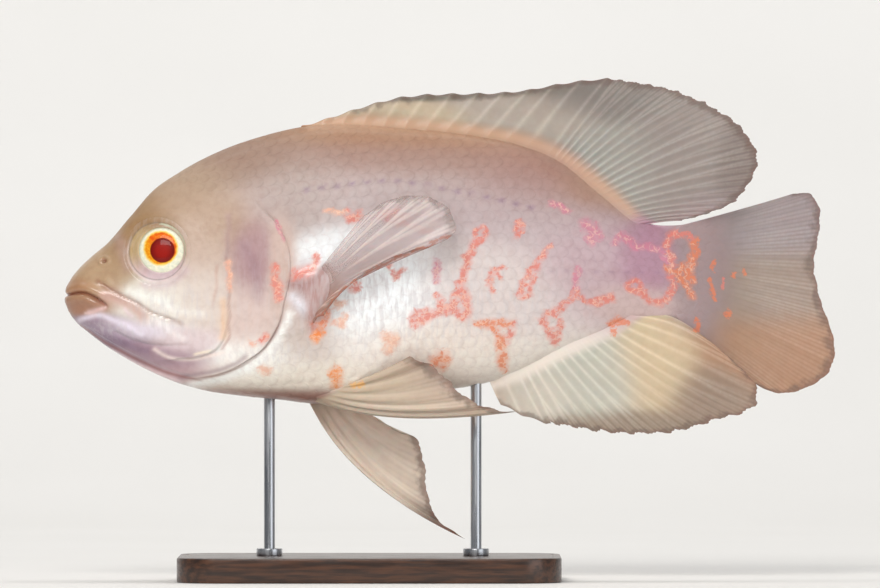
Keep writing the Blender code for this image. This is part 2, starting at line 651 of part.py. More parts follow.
def build_base():
    """A flat plate with rounded corners and softened edges."""
    bm = bmesh.new()
    outline = []
    along_base, across_base = BASE_LENGTH / 2 - BASE_CORNER, BASE_WIDTH / 2 - BASE_CORNER
    for quarter, (sign_x, sign_y) in enumerate(((1, 1), (-1, 1), (-1, -1), (1, -1))):
        middle = Vector((sign_x * along_base, sign_y * across_base, 0))
        for step in range(CORNER_STEPS + 1):
            angle = math.pi / 2 * (quarter + step / CORNER_STEPS)
            outline.append((middle + BASE_CORNER * Vector((math.cos(angle), math.sin(angle), 0))) * MM)
    face = bm.faces.new([bm.verts.new(p) for p in outline])
    pushed = bmesh.ops.extrude_face_region(bm, geom=[face])["geom"]
    verts = [item for item in pushed if isinstance(item, bmesh.types.BMVert)]
    bmesh.ops.translate(bm, verts=verts, vec=Vector((0, 0, BASE_THICKNESS * MM)))
    upper = [e for e in bm.edges if all(v.co.z > BASE_THICKNESS * MM / 2 for v in e.verts)]
    bmesh.ops.bevel(bm, geom=upper, offset=BASE_BEVEL * MM, segments=2, profile=0.5, affect="EDGES")
    bmesh.ops.recalc_face_normals(bm, faces=bm.faces)
    return new_object("stand_base", bm, "stand")


def build_rods():
    """Upright rods on a collar each. A rod's top follows the belly that it holds."""
    foot = BASE_THICKNESS + CLEARANCE - MOUTH_LEVEL
    collar_top = foot + COLLAR_HEIGHT
    profile = (
        (COLLAR_RADIUS, foot), (COLLAR_RADIUS, collar_top), (ROD_RADIUS, collar_top), (ROD_RADIUS, None),
    )
    for name, behind in ROD_PLACES.items():
        bm = bmesh.new()
        rings = []
        for radius, height in profile:
            ring = []
            for step in range(ROD_SIDES):
                angle = 2 * math.pi * step / ROD_SIDES
                x, y = behind + radius * math.cos(angle), radius * math.sin(angle)
                z = height if height is not None else belly(x, y) - CLEARANCE
                ring.append(bm.verts.new(place(x, y, z)))
            rings.append(ring)
        for low, high in zip(rings, rings[1:]):
            for a, b, c, d in zip(low, low[1:] + low[:1], high[1:] + high[:1], high):
                bm.faces.new((a, b, c, d))
        bm.faces.new(rings[0])
        peak = bm.verts.new(place(behind, 0, belly(behind, 0) - CLEARANCE))
        for a, b in zip(rings[-1], rings[-1][1:] + rings[-1][:1]):
            bm.faces.new((a, b, peak))
        bmesh.ops.recalc_face_normals(bm, faces=bm.faces)
        new_object(name, bm, "rod")


def belly(behind, side):
    """Height of the underside of the body, at this distance from the backbone."""
    level = widest_level(behind)
    fullness = belly_fullness(behind)
    share = min(1.0, abs(side - float(midline(behind))) / float(half_width(behind)))
    return float(level - (level - bottom(behind)) * (1 - share**fullness) ** (1 / fullness))


def main():
    clear_scene()
    build_head_and_body()
    build_midline_fins()
    build_tail_fin()
    build_paired_fins()
    build_base()
    build_rods()


main()
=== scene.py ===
"""An albino oscar cichlid, life size, over a plain display stand: skin, scales, fins and eyes.

Metres, +Z up, in the frame of the solids. The fish faces -X with its left side to -Y, and the
origin is the middle of the base's underside. Shapes are written in millimetres as (behind,
height): how far a point lies behind the tip of the snout, and how high it is above the level of
the mouth. The function place turns them into metres.
"""

import math

import bmesh
import bpy
import numpy as np
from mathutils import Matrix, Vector

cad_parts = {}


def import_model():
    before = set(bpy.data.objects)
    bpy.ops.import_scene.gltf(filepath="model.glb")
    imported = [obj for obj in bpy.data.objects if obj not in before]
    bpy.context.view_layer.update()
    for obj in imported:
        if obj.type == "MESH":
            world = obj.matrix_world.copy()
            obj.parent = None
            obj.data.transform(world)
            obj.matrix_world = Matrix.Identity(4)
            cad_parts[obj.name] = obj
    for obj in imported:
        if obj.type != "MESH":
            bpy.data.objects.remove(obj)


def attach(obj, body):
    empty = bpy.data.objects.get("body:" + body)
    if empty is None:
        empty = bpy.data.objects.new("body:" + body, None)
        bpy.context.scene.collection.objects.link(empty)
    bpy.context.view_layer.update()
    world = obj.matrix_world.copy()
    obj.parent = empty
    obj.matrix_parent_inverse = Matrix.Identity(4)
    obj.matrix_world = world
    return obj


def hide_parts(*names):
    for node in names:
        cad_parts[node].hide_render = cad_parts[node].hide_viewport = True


MM = 0.001
DOUBLED = 1e-6  # points of a mesh that lie closer than this, in metres, are joined
SEED = 7
SIDES = {"left": -1, "right": 1}

# Driving dimensions of the fish, in millimetres, the same as the solids'
MOUTH_LEVEL = 91.0  # height of the mouth above the floor
SNOUT_AHEAD = 98.5  # how far the snout tip is in front of the base's middle
PEDUNCLE_END = 197.0  # standard length: snout tip to the root of the tail fin
SKIN_END = 205.0  # the scaly skin runs on over the root of the tail fin and thins out there
BEND_START = 118.0  # where the backbone starts to turn away from the left side
BEND = 0.00105  # how fast it turns, per millimetre

# Outline of the body without its fins, from the snout back
TOP_LINE = (
    (0, 1.6), (0.5, 4.2), (1.4, 6.4), (3.4, 9.2), (7.8, 13.6), (14.3, 19.1), (20.8, 26.6), (27.2, 34.4),
    (37, 41.5), (50, 48.3), (63, 52.9), (76, 56.0), (89, 57.1), (108, 55.9), (134, 53.3),
    (147, 50.7), (160, 45.6), (173, 35.6), (186, 25.8), (191, 24.4), (PEDUNCLE_END, 24.2),
    (SKIN_END, 25.0),
)
BOTTOM_LINE = (
    (0, 0.2), (0.5, -2.6), (1.4, -4.6), (3.0, -6.8), (5.5, -9.3), (11, -13.6), (17.5, -17.8), (30.5, -24.6),
    (43.5, -29.2), (56.5, -31.1), (69.5, -32.4), (81, -33.7), (92, -33.4), (108, -31.8),
    (121, -29.6), (137.5, -26.6), (147, -23.2), (160, -16.9), (173, -11.5), (184.5, -6.4),
    (PEDUNCLE_END, -6.8), (SKIN_END, -8.6),
)
# Cross-sections by how far back they lie: half the width, the level of the widest point, and how
# full the curve is above and below that level
HALF_WIDTH = (
    (0, 1.0), (0.5, 3.4), (1.4, 5.2), (3.2, 7.3), (6, 9.2), (11, 10.9), (20, 13.4), (30, 15.8), (42, 17.8),
    (56, 19.3), (70, 19.8), (90, 19.3), (110, 17.8), (130, 15.4), (150, 12.0), (165, 9.2),
    (180, 6.8), (190, 5.0), (PEDUNCLE_END, 3.3), (201, 1.9), (SKIN_END, 0.6),
)
WIDEST_LEVEL = (
    (0, 0.8), (11, 1.0), (30, 3.0), (60, 5.0), (90, 9.0), (130, 12.0), (160, 12.0), (PEDUNCLE_END, 8.7),
    (SKIN_END, 8.2),
)
BACK_FULLNESS = (
    (0, 2.2), (30, 2.15), (70, 2.0), (120, 1.85), (160, 1.8), (PEDUNCLE_END, 2.0), (SKIN_END, 2.6),
)
BELLY_FULLNESS = (
    (0, 2.3), (30, 2.3), (90, 2.3), (125, 2.0), (150, 1.75), (PEDUNCLE_END, 2.0), (SKIN_END, 2.6),
)

# Lines of the head, each from its front or top end
GILL_EDGE = (
    (55, 62), (57.5, 46), (60, 34), (63.8, 29.2), (68, 25), (70.6, 21), (72.4, 15.5), (72.8, 10),
    (72.2, 4.5), (71, 0), (69.4, -6.5), (66.8, -11.7), (63.6, -16), (59.5, -19), (54.5, -21.9),
    (50, -23.6), (44, -24.8), (38, -26.2), (33, -31),
)
CHEEK_EDGE = (
    (54, 25), (52.6, 18), (52.4, 12), (52.9, 4), (52.9, -4), (52.0, -11), (49.5, -15.5), (44, -18.2),
    (36, -19.2),
)
CLEFT = ((-6, 1.6), (0.6, 1.6), (3, 2.1), (6.2, 2.2), (9.4, 1.0), (12.2, -0.8), (14.2, -2.6))
CHEEK_FOLD = ((10.6, 6.2), (13.5, 4.2), (17.5, 1.9), (24, -1.3), (27.2, -3.6), (32.1, -5.5), (38, -7.6))
LIP_FOLD = ((12.4, -3.4), (11.0, -4.4), (8.0, -4.6), (4.4, -4.4))
JAW_RIDGE = ((4.5, -6.6), (9.4, -6.2), (18, -8.6), (26, -11.4), (36, -12.4))
JAW_FOLD = ((15, -9.5), (22, -13.2), (28, -14.6), (36, -14.8), (42, -14.2))
CHIN_FOLD = ((4.9, -8.3), (10.5, -12.4), (16.4, -15.8), (26.4, -20.8), (32, -23.2), (37.5, -24.8), (44, -26))
PREORBITAL = ((13, 15.5), (18, 19.5), (22, 24), (27, 27.4), (35, 28.4), (41, 25.5))

# Folds of the head: line, depth, half width, and the height and reach of the lip beside it
FOLDS = (
    (CHEEK_FOLD, 0.6, 0.7, 0.5, 2.4),
    (LIP_FOLD, 0.4, 0.7, 0.0, 1.0),
    (CHIN_FOLD, 0.6, 0.6, -0.35, 2.4),
    (JAW_FOLD, 0.4, 0.8, 0.2, 1.6),
)
# Low ridges of the head: line, height, half width and the length over which each one starts
RIDGES = ((JAW_RIDGE, 0.55, 1.7, 4), (PREORBITAL, 0.35, 1.6, 5))

# Lines of pores along the flank, from the front, and the distance from pore to pore
LATERAL_LINE = (
    (75.9, 35), (81.7, 36), (87.6, 36.6), (97, 38.3), (106, 38.6), (116.4, 37.3), (125.2, 35.3), (133.6, 34),
    (143, 31.8), (153, 29.2),
)
LOWER_LATERAL_LINE = ((150, 9.5), (165, 9.2), (180, 9.0), (196, 8.8))
PORE_PITCH = 4.9

EYE = (31.0, 16.2)  # middle of the eye
EYEBALL = (9.6, 5.4, 2.6)  # radius, depth along its axis, how far it stands out of the flesh
EYE_OPENING = (31.5, 15.9, 7.4)  # middle and radius of the opening between the lids
SOCKET = (30.0, 15.7, 9.2)  # middle and radius of the groove round the lids
PUPIL = (31.75, 16.0, 4.05)  # middle and radius
IRIS = (31.2, 16.7, 5.35)  # middle and radius
NOSTRIL = (12.6, 12.6)
NOSTRIL_FLATNESS = 1.25

# Fins, in millimetres, with the roots of the solids'. A group of rays has their number, the first
# and last root, and the shares of the margin where they end. Bows say how far back and up the
# first and the last ray of a fin bend.
SUNK = 1.2  # how deep the rays start inside the body
WEB_HALF = 0.13  # half the thickness of the web between the rays
DORSAL_ROOTS = ((13, 75.5, 156.0, 0.0, 0.515), (20, 158.4, 187.0, 0.54, 1.0))
DORSAL_MARGIN = (
    (76.5, 56.6), (84, 58.8), (95, 62.4), (108, 65.9), (122, 67.1), (134, 67.2), (147, 67.9), (160, 70.2),
    (175, 72), (187, 71), (202, 67), (214, 61), (222, 53.5), (225, 47), (223.5, 39), (219, 33), (210, 28.2),
    (200, 25.6),
)
ANAL_ROOTS = ((3, 137.0, 146.0, 0.0, 0.14), (16, 148.4, 186.0, 0.18, 1.0))
ANAL_MARGIN = (
    (141, -34), (149, -38.2), (157, -40.6), (165, -42.2), (174, -43.6), (186, -44.2), (196, -44),
    (206, -41.5), (216, -38.6), (224, -36.4), (226, -32.4), (224.5, -27), (219, -22), (211, -17),
)
TAIL_RAYS = 16
TAIL_MARGIN = (
    (236.5, 34.8), (240.5, 35.5), (244, 33.4), (245.8, 28.5), (245.3, 20), (243.9, 12), (245.2, 3.2),
    (247.1, -4.2), (249.5, -10.6), (250.4, -17), (249.4, -22), (246.4, -26), (241, -28.8), (235.9, -30.6),
    (230.3, -30.2), (226, -28),
)
FIN_LEAN = 0.02  # how far the dorsal and anal rays lean to the left, for each millimetre back
PECTORAL_ROOT = ((81.6, 8.5), (82.2, 0), (80.8, -9.5))
PECTORAL_MARGIN = (
    (97, 27), (105, 32.5), (114, 34), (122, 32), (126, 26), (126.3, 21), (121, 18), (112, 15.5),
    (103, 11.6), (94, 6), (88, 0.5), (84, -5),
)
PECTORAL_RAYS = 13
PECTORAL_BOWS = ((0, 0), (-2.4, 3.2))
PELVIC_ROOT = ((78.0, -32.6), (89.0, -28.5))
PELVIC_FOLDED_MARGIN = (
    (146.5, -36.4), (137, -34.2), (131, -31.5), (126, -27.5), (121, -22.5), (117, -19.2), (112, -17.8),
)
PELVIC_HANGING_MARGIN = (
    (130.3, -78), (120.5, -71), (117.5, -62), (116.7, -53), (114.8, -46), (112.5, -42.4), (107, -42.4),
)
PELVIC_FOLDED_BOWS, PELVIC_HANGING_BOWS = ((0, -5.5), (0, 0)), ((-6, -5), (0, 0))
PELVIC_RAYS = 6

# Stand, in millimetres
BASE_LENGTH, BASE_WIDTH, BASE_THICKNESS = 124.0, 72.0, 8.0
BASE_CORNER = 14.0
ROD_PLACES = {"rod_front": 66.0, "rod_rear": 133.0}
COLLAR_RADIUS, COLLAR_HEIGHT = 4.2, 2.4
ROUGH_LENGTH = 30.0  # a rod's length before its top is cut to the belly
ROD_BITE = 0.25  # how far its top reaches into the skin

# Scales, in millimetres
SCALE_PITCH = 4.3  # one scale to the next along a row
SCALE_ROW = 3.7  # one row to the next
TOP_ROW, BOTTOM_ROW = -26, 19
SCALES_FROM = 33.0  # the snout and the front of the head are bare
NAPE_END, NAPE_LEVEL = 78.0, 36.0  # on the nape the scales grow on, ahead of the gill cover
SLIT_TOP = 34.0  # height of the upper end of the slit behind the gill cover
CHEEK_SCALE_PITCH, CHEEK_SCALE_ROW, CHEEK_SCALE_LIFT = 2.7, 2.4, 0.14
TAIL_SCALE_PITCH, TAIL_SCALE_ROW = 3.2, 2.8

# Tones of the body by region: middle (behind, height), reach back, reach up, colour. The tones of the back
# are partly the skin's own tan and partly painted shade of its less lit top.
BODY_TONES = {
    "snout": (9.4, 10.4, 9, 8, (182, 152, 120)),
    "upper lip": (4, 4.2, 5, 2.2, (170, 120, 84)),
    "lower lip": (6, -1.8, 6, 2.0, (158, 110, 84)),
    "forehead": (22.4, 24.3, 10, 10, (158, 124, 86)),
    "nape": (40, 37, 12, 10, (176, 150, 126)),
    "crest": (60, 46, 15, 8, (152, 124, 106)),
    "under the eye": (30, -1, 9, 6, (236, 232, 222)),
    "cheek": (43, 2, 9, 9, (220, 206, 196)),
    "behind the eye": (43, 17, 8, 8, (198, 174, 158)),
    "temple": (48, 27, 9, 7, (180, 152, 130)),
    "gill cover": (60, 14, 5, 9, (174, 140, 142)),
    "gill cover, low": (61, -6, 7, 8, (216, 194, 186)),
    "gill cover, rim": (70, 10, 3, 14, (204, 178, 166)),
    "jaw side": (12, -10.5, 10, 3.4, (130, 98, 122)),
    "jaw sheen": (22, -9.5, 11, 2.2, (226, 216, 228)),
    "jaw corner": (40, -13, 7, 3, (222, 204, 206)),
    "chin": (30, -20, 14, 4, (168, 138, 150)),
    "under the jaw": (24, -23.5, 14, 2.2, (216, 178, 182)),
    "throat": (62, -19, 12, 5, (252, 250, 244)),
    "breast": (78, -12, 9, 9, (202, 184, 174)),
    # Painted shade: the belly's lower edge, darker than its own colour.
    "belly edge": (70, -33, 26, 3, (156, 112, 100)),
    "belly": (74, -24, 20, 4, (242, 230, 214)),
    "shoulder": (76, 37, 11, 9, (176, 158, 150)),
    "dorsal base": (108, 54, 42, 4, (164, 124, 92)),
    "back": (104, 46, 38, 6, (162, 128, 114)),
    "rear back": (155, 39, 18, 10, (164, 126, 116)),
    "rear dorsal base": (172, 37, 10, 5, (182, 146, 126)),
    "upper flank": (98, 35, 32, 8, (190, 172, 170)),
    "rear upper flank": (148, 27, 18, 9, (190, 172, 174)),
    "flank": (98, 4, 15, 15, (250, 252, 253)),
    "rear flank": (140, 3, 18, 14, (222, 208, 204)),
    "low flank": (118, -17, 24, 8, (240, 226, 214)),
    "stalk, front": (166, 12, 12, 10, (192, 164, 170)),
    "stalk": (189, 12, 8, 8, (176, 132, 150)),
    "stalk, low": (184, 0, 10, 4, (208, 182, 178)),
    "rear belly": (142, -20, 18, 6, (236, 226, 214)),
    "tail root": (203, 12, 6, 12, (158, 136, 136)),
    # Partly the fleshy pad's own pink and partly painted shade round the fin's root.
    "pectoral base": (78.5, 1.5, 4, 6.5, (174, 136, 134)),
}

# Tones of the fins by region, in the same form
FIN_TONES = {
    "dorsal, front": (100, 58, 20, 3, (198, 182, 156)),
    "dorsal, spine tips": (115, 68.4, 34, 1.8, (112, 106, 90)),
    "dorsal, middle": (150, 59, 14, 5, (178, 168, 156)),
    "dorsal, soft front": (176, 46, 12, 8, (160, 158, 150)),
    "dorsal, soft top": (176, 66, 16, 6, (132, 125, 119)),
    "dorsal, lobe": (200, 50, 12, 12, (152, 143, 137)),
    "dorsal, lobe tip": (219, 44, 6, 12, (126, 113, 107)),
    "anal, front": (152, -29, 8, 6, (210, 204, 190)),
    "anal, soft front": (172, -26, 10, 8, (198, 198, 184)),
    "anal, middle": (192, -22, 9, 9, (214, 194, 160)),
    "anal, lobe": (208, -31, 9, 7, (152, 131, 113)),
    "anal, edge": (185, -42, 20, 4, (146, 128, 109)),
    "tail, root": (206, 12, 7, 12, (158, 136, 136)),
    "tail, upper": (224, 25, 12, 8, (156, 143, 144)),
    "tail, middle": (226, 3, 12, 9, (160, 141, 128)),
    "tail, lower": (226, -15, 14, 8, (178, 136, 105)),
    "pectoral": (104, 18, 16, 12, (208, 190, 190)),
    "pectoral, low": (104, 11.5, 15, 4.5, (176, 142, 136)),
    "pectoral, root": (83, 0, 6, 9, (182, 140, 126)),
    "folded pelvic": (112, -29, 20, 7, (204, 184, 160)),
    "folded pelvic, outer": (126, -25, 10, 6, (176, 150, 142)),
    "hanging pelvic": (108, -52, 16, 16, (224, 208, 190)),
    "hanging pelvic, tip": (122, -72, 8, 8, (130, 114, 102)),
}

# Painted shade: a dark reddish brown laid into the mouth's cleft, the folds of the head, the gill slit and
# the nostril.
CREASE_SHADE_TONE = (134, 66, 48)  # inside the mouth, the folds and the slit
PORE_TONE = (132, 98, 132)

# Stains of the markings
STAINS = {
    "orange": (228, 122, 72),
    "red": (224, 122, 106),
    "pink": (208, 126, 146),
    "vivid": (244, 134, 32),
    "gold": (240, 176, 92),
    "faint": (234, 176, 150),
    "rust": (170, 96, 68),
}

# Where the silvery layer shows through the skin: middle, reach back, reach up and strength
SILVER = (
    (100, 0, 34, 17, 1.0),
    (36, -3, 14, 8, 0.8),
    (20, -9, 14, 3, 0.7),
    (64, -18, 14, 5, 0.6),
    (145, -2, 22, 15, 0.5),
)

MARK_SPREAD = 1.5  # the faint rim of a marking, as a share of its half width

# Markings of the pectoral fins
PECTORAL_MARKS = {
    "root": ("rust", 1.1, ((78.6, -11.2), (80.4, -8.6), (82.6, -5.6))),
    "lower rim": ("rust", 0.32, (
        (82, -9), (83.5, -5), (87.5, 0.3), (93.5, 5.8), (102.5, 11.4), (111.5, 15.3), (120.5, 18.2),
    )),
    "tip": ("rust", 0.4, ((118, 18.6), (122, 19.8), (125, 20.6))),
}

# Soft strokes over the tones of the body: colour, half width, strength and line. The strokes named gleam or
# glint, all but the pale band of the chin under the jaw, are painted highlights, and those named shade or
# crease, with 'cheek edge' and 'cheek edge, top', are painted shade.
STROKES_OF_TONE_AND_PAINTED_LIGHT = {
    "jaw gleam": ((242, 234, 248), 1.1, 0.65, (
        (5.0, -6.4), (11.8, -4.9), (15.2, -6.3), (19.2, -7.7), (22.6, -9.4), (24.5, -11),
    )),
    "jaw gleam, rear": ((246, 240, 238), 1.2, 0.6, ((25.5, -6.6), (30.6, -7.4), (35.1, -10.8), (38, -12.2))),
    "jaw shade": ((128, 102, 128), 1.7, 0.55, (
        (7.2, -9.7), (11.2, -11.9), (15.2, -13.1), (19.2, -14.2), (23.2, -15.9), (26.5, -16.4),
    )),
    "jaw fold gleam": ((246, 230, 222), 0.6, 0.7, (
        (28.9, -15.9), (32.8, -18.2), (36.3, -19.1), (42, -19.1), (46.5, -18.2), (51, -17.0),
    )),
    "jaw fold glint": ((252, 240, 214), 0.5, 0.7, ((42.4, -17.6), (44.6, -17.0), (46.8, -16.6))),
    "chin gleam": ((240, 208, 212), 0.5, 0.7, (
        (14.6, -16.4), (20, -19.2), (26.0, -22.0), (31.6, -24.4), (36.6, -26.2),
    )),
    "maxilla": ((202, 162, 150), 2.3, 0.85, ((13.4, 1.4), (17.4, 0.2), (20.9, -1.7), (25.0, -4.8))),
    "lip glint": ((232, 200, 194), 0.5, 0.6, ((6.4, -4.3), (9.4, -4.0), (12.2, -2.9))),
    "mouth corner": ((232, 196, 194), 0.8, 0.6, ((7.8, -3.9), (10.4, -3.3), (12.9, -2.7))),
    "mouth corner glint": ((238, 214, 224), 0.6, 0.5, ((19.4, -3.0), (20.4, -4.4), (21.6, -5.2))),
    "cheek gleam": ((246, 248, 242), 1.6, 0.6, ((20.9, 2.8), (26, 1.4), (30.0, 0), (33.8, -1.5))),
    "cheek gleam, low": ((246, 244, 238), 1.2, 0.5, ((31.7, -2.3), (36, -3.3), (39.7, -4.0), (44.8, -4.4))),
    "eye shade": ((206, 180, 186), 1.4, 0.55, ((26.4, 4.8), (30.5, 4.6), (35.1, 5.8), (39.4, 9.6))),
    "snout shade": ((188, 160, 160), 2.2, 0.35, ((17.6, 20), (19.0, 16), (20.4, 11))),
    "cheek edge": ((168, 118, 106), 0.4, 0.55, (
        (52.5, 13.7), (53.3, 6.8), (53.3, 0.6), (53.3, -7.4), (52.8, -13.2), (51, -15.9),
    )),
    "cheek edge, top": ((168, 136, 138), 1.1, 0.4, ((53.3, 27.0), (52.9, 21), (52.6, 14.4))),
    "cheek crease": ((196, 152, 134), 0.5, 0.4, ((49.3, 10.8), (49.3, 6), (49.1, 2.8), (47.9, -1.7))),
    "cheek edge, glow": ((238, 194, 148), 1.3, 0.55, ((51.6, -0.6), (51.7, -6), (51.3, -12))),
    "cover shade": ((154, 122, 134), 2.2, 0.35, ((57.9, 17.6), (61, 12), (62.5, 7), (63, 0.6))),
    "cover rim": ((150, 122, 130), 0.9, 0.6, (
        (37, -25), (44, -23.9), (50, -22.7), (55, -20.8), (58.6, -18.4),
    )),
    "white behind the slit": ((254, 253, 248), 1.5, 0.9, (
        (72.6, -4.6), (71.2, -8.4), (66.6, -15.5), (61.2, -20.6), (56, -23.4), (48, -26), (41, -27.2),
    )),
    "breast crease": ((186, 172, 160), 0.5, 0.5, ((70.4, -11.4), (73.6, -11.8), (77.6, -10.2))),
    "dorsal base glow": ((206, 168, 140), 2.8, 0.65, (
        (80, 57.6), (108, 57.6), (134, 55.0), (147, 52.4), (160, 47.4), (173, 37.6), (183, 29.4),
    )),
    "back band": ((170, 126, 102), 2.6, 0.25, (
        (88, 52.8), (108, 52.0), (134, 49.4), (147, 46.6), (158, 41.6), (169, 33.2),
    )),
    "fin root gleam": ((244, 244, 252), 1.7, 0.8, ((73.8, 1.2), (76, -1.2), (77.6, -3.4))),
    "fin root shade": ((172, 132, 128), 1.9, 0.85, ((73.6, 5.0), (77.4, 4.8), (81.0, 6.2), (83.6, 9.4))),
    "fin root shade, low": ((178, 136, 130), 2.0, 0.85, (
        (81.6, 5.5), (81.2, 0.6), (79.8, -4.6), (80.6, -9.4),
    )),
    "fin root shade, rear": ((186, 148, 142), 1.8, 0.8, ((84.4, 9.8), (85.2, 5), (84.4, 0), (82.8, -5))),
    "fin root stain": ((220, 108, 66), 1.0, 0.7, ((80.4, -7.6), (81.6, -10.6))),
}

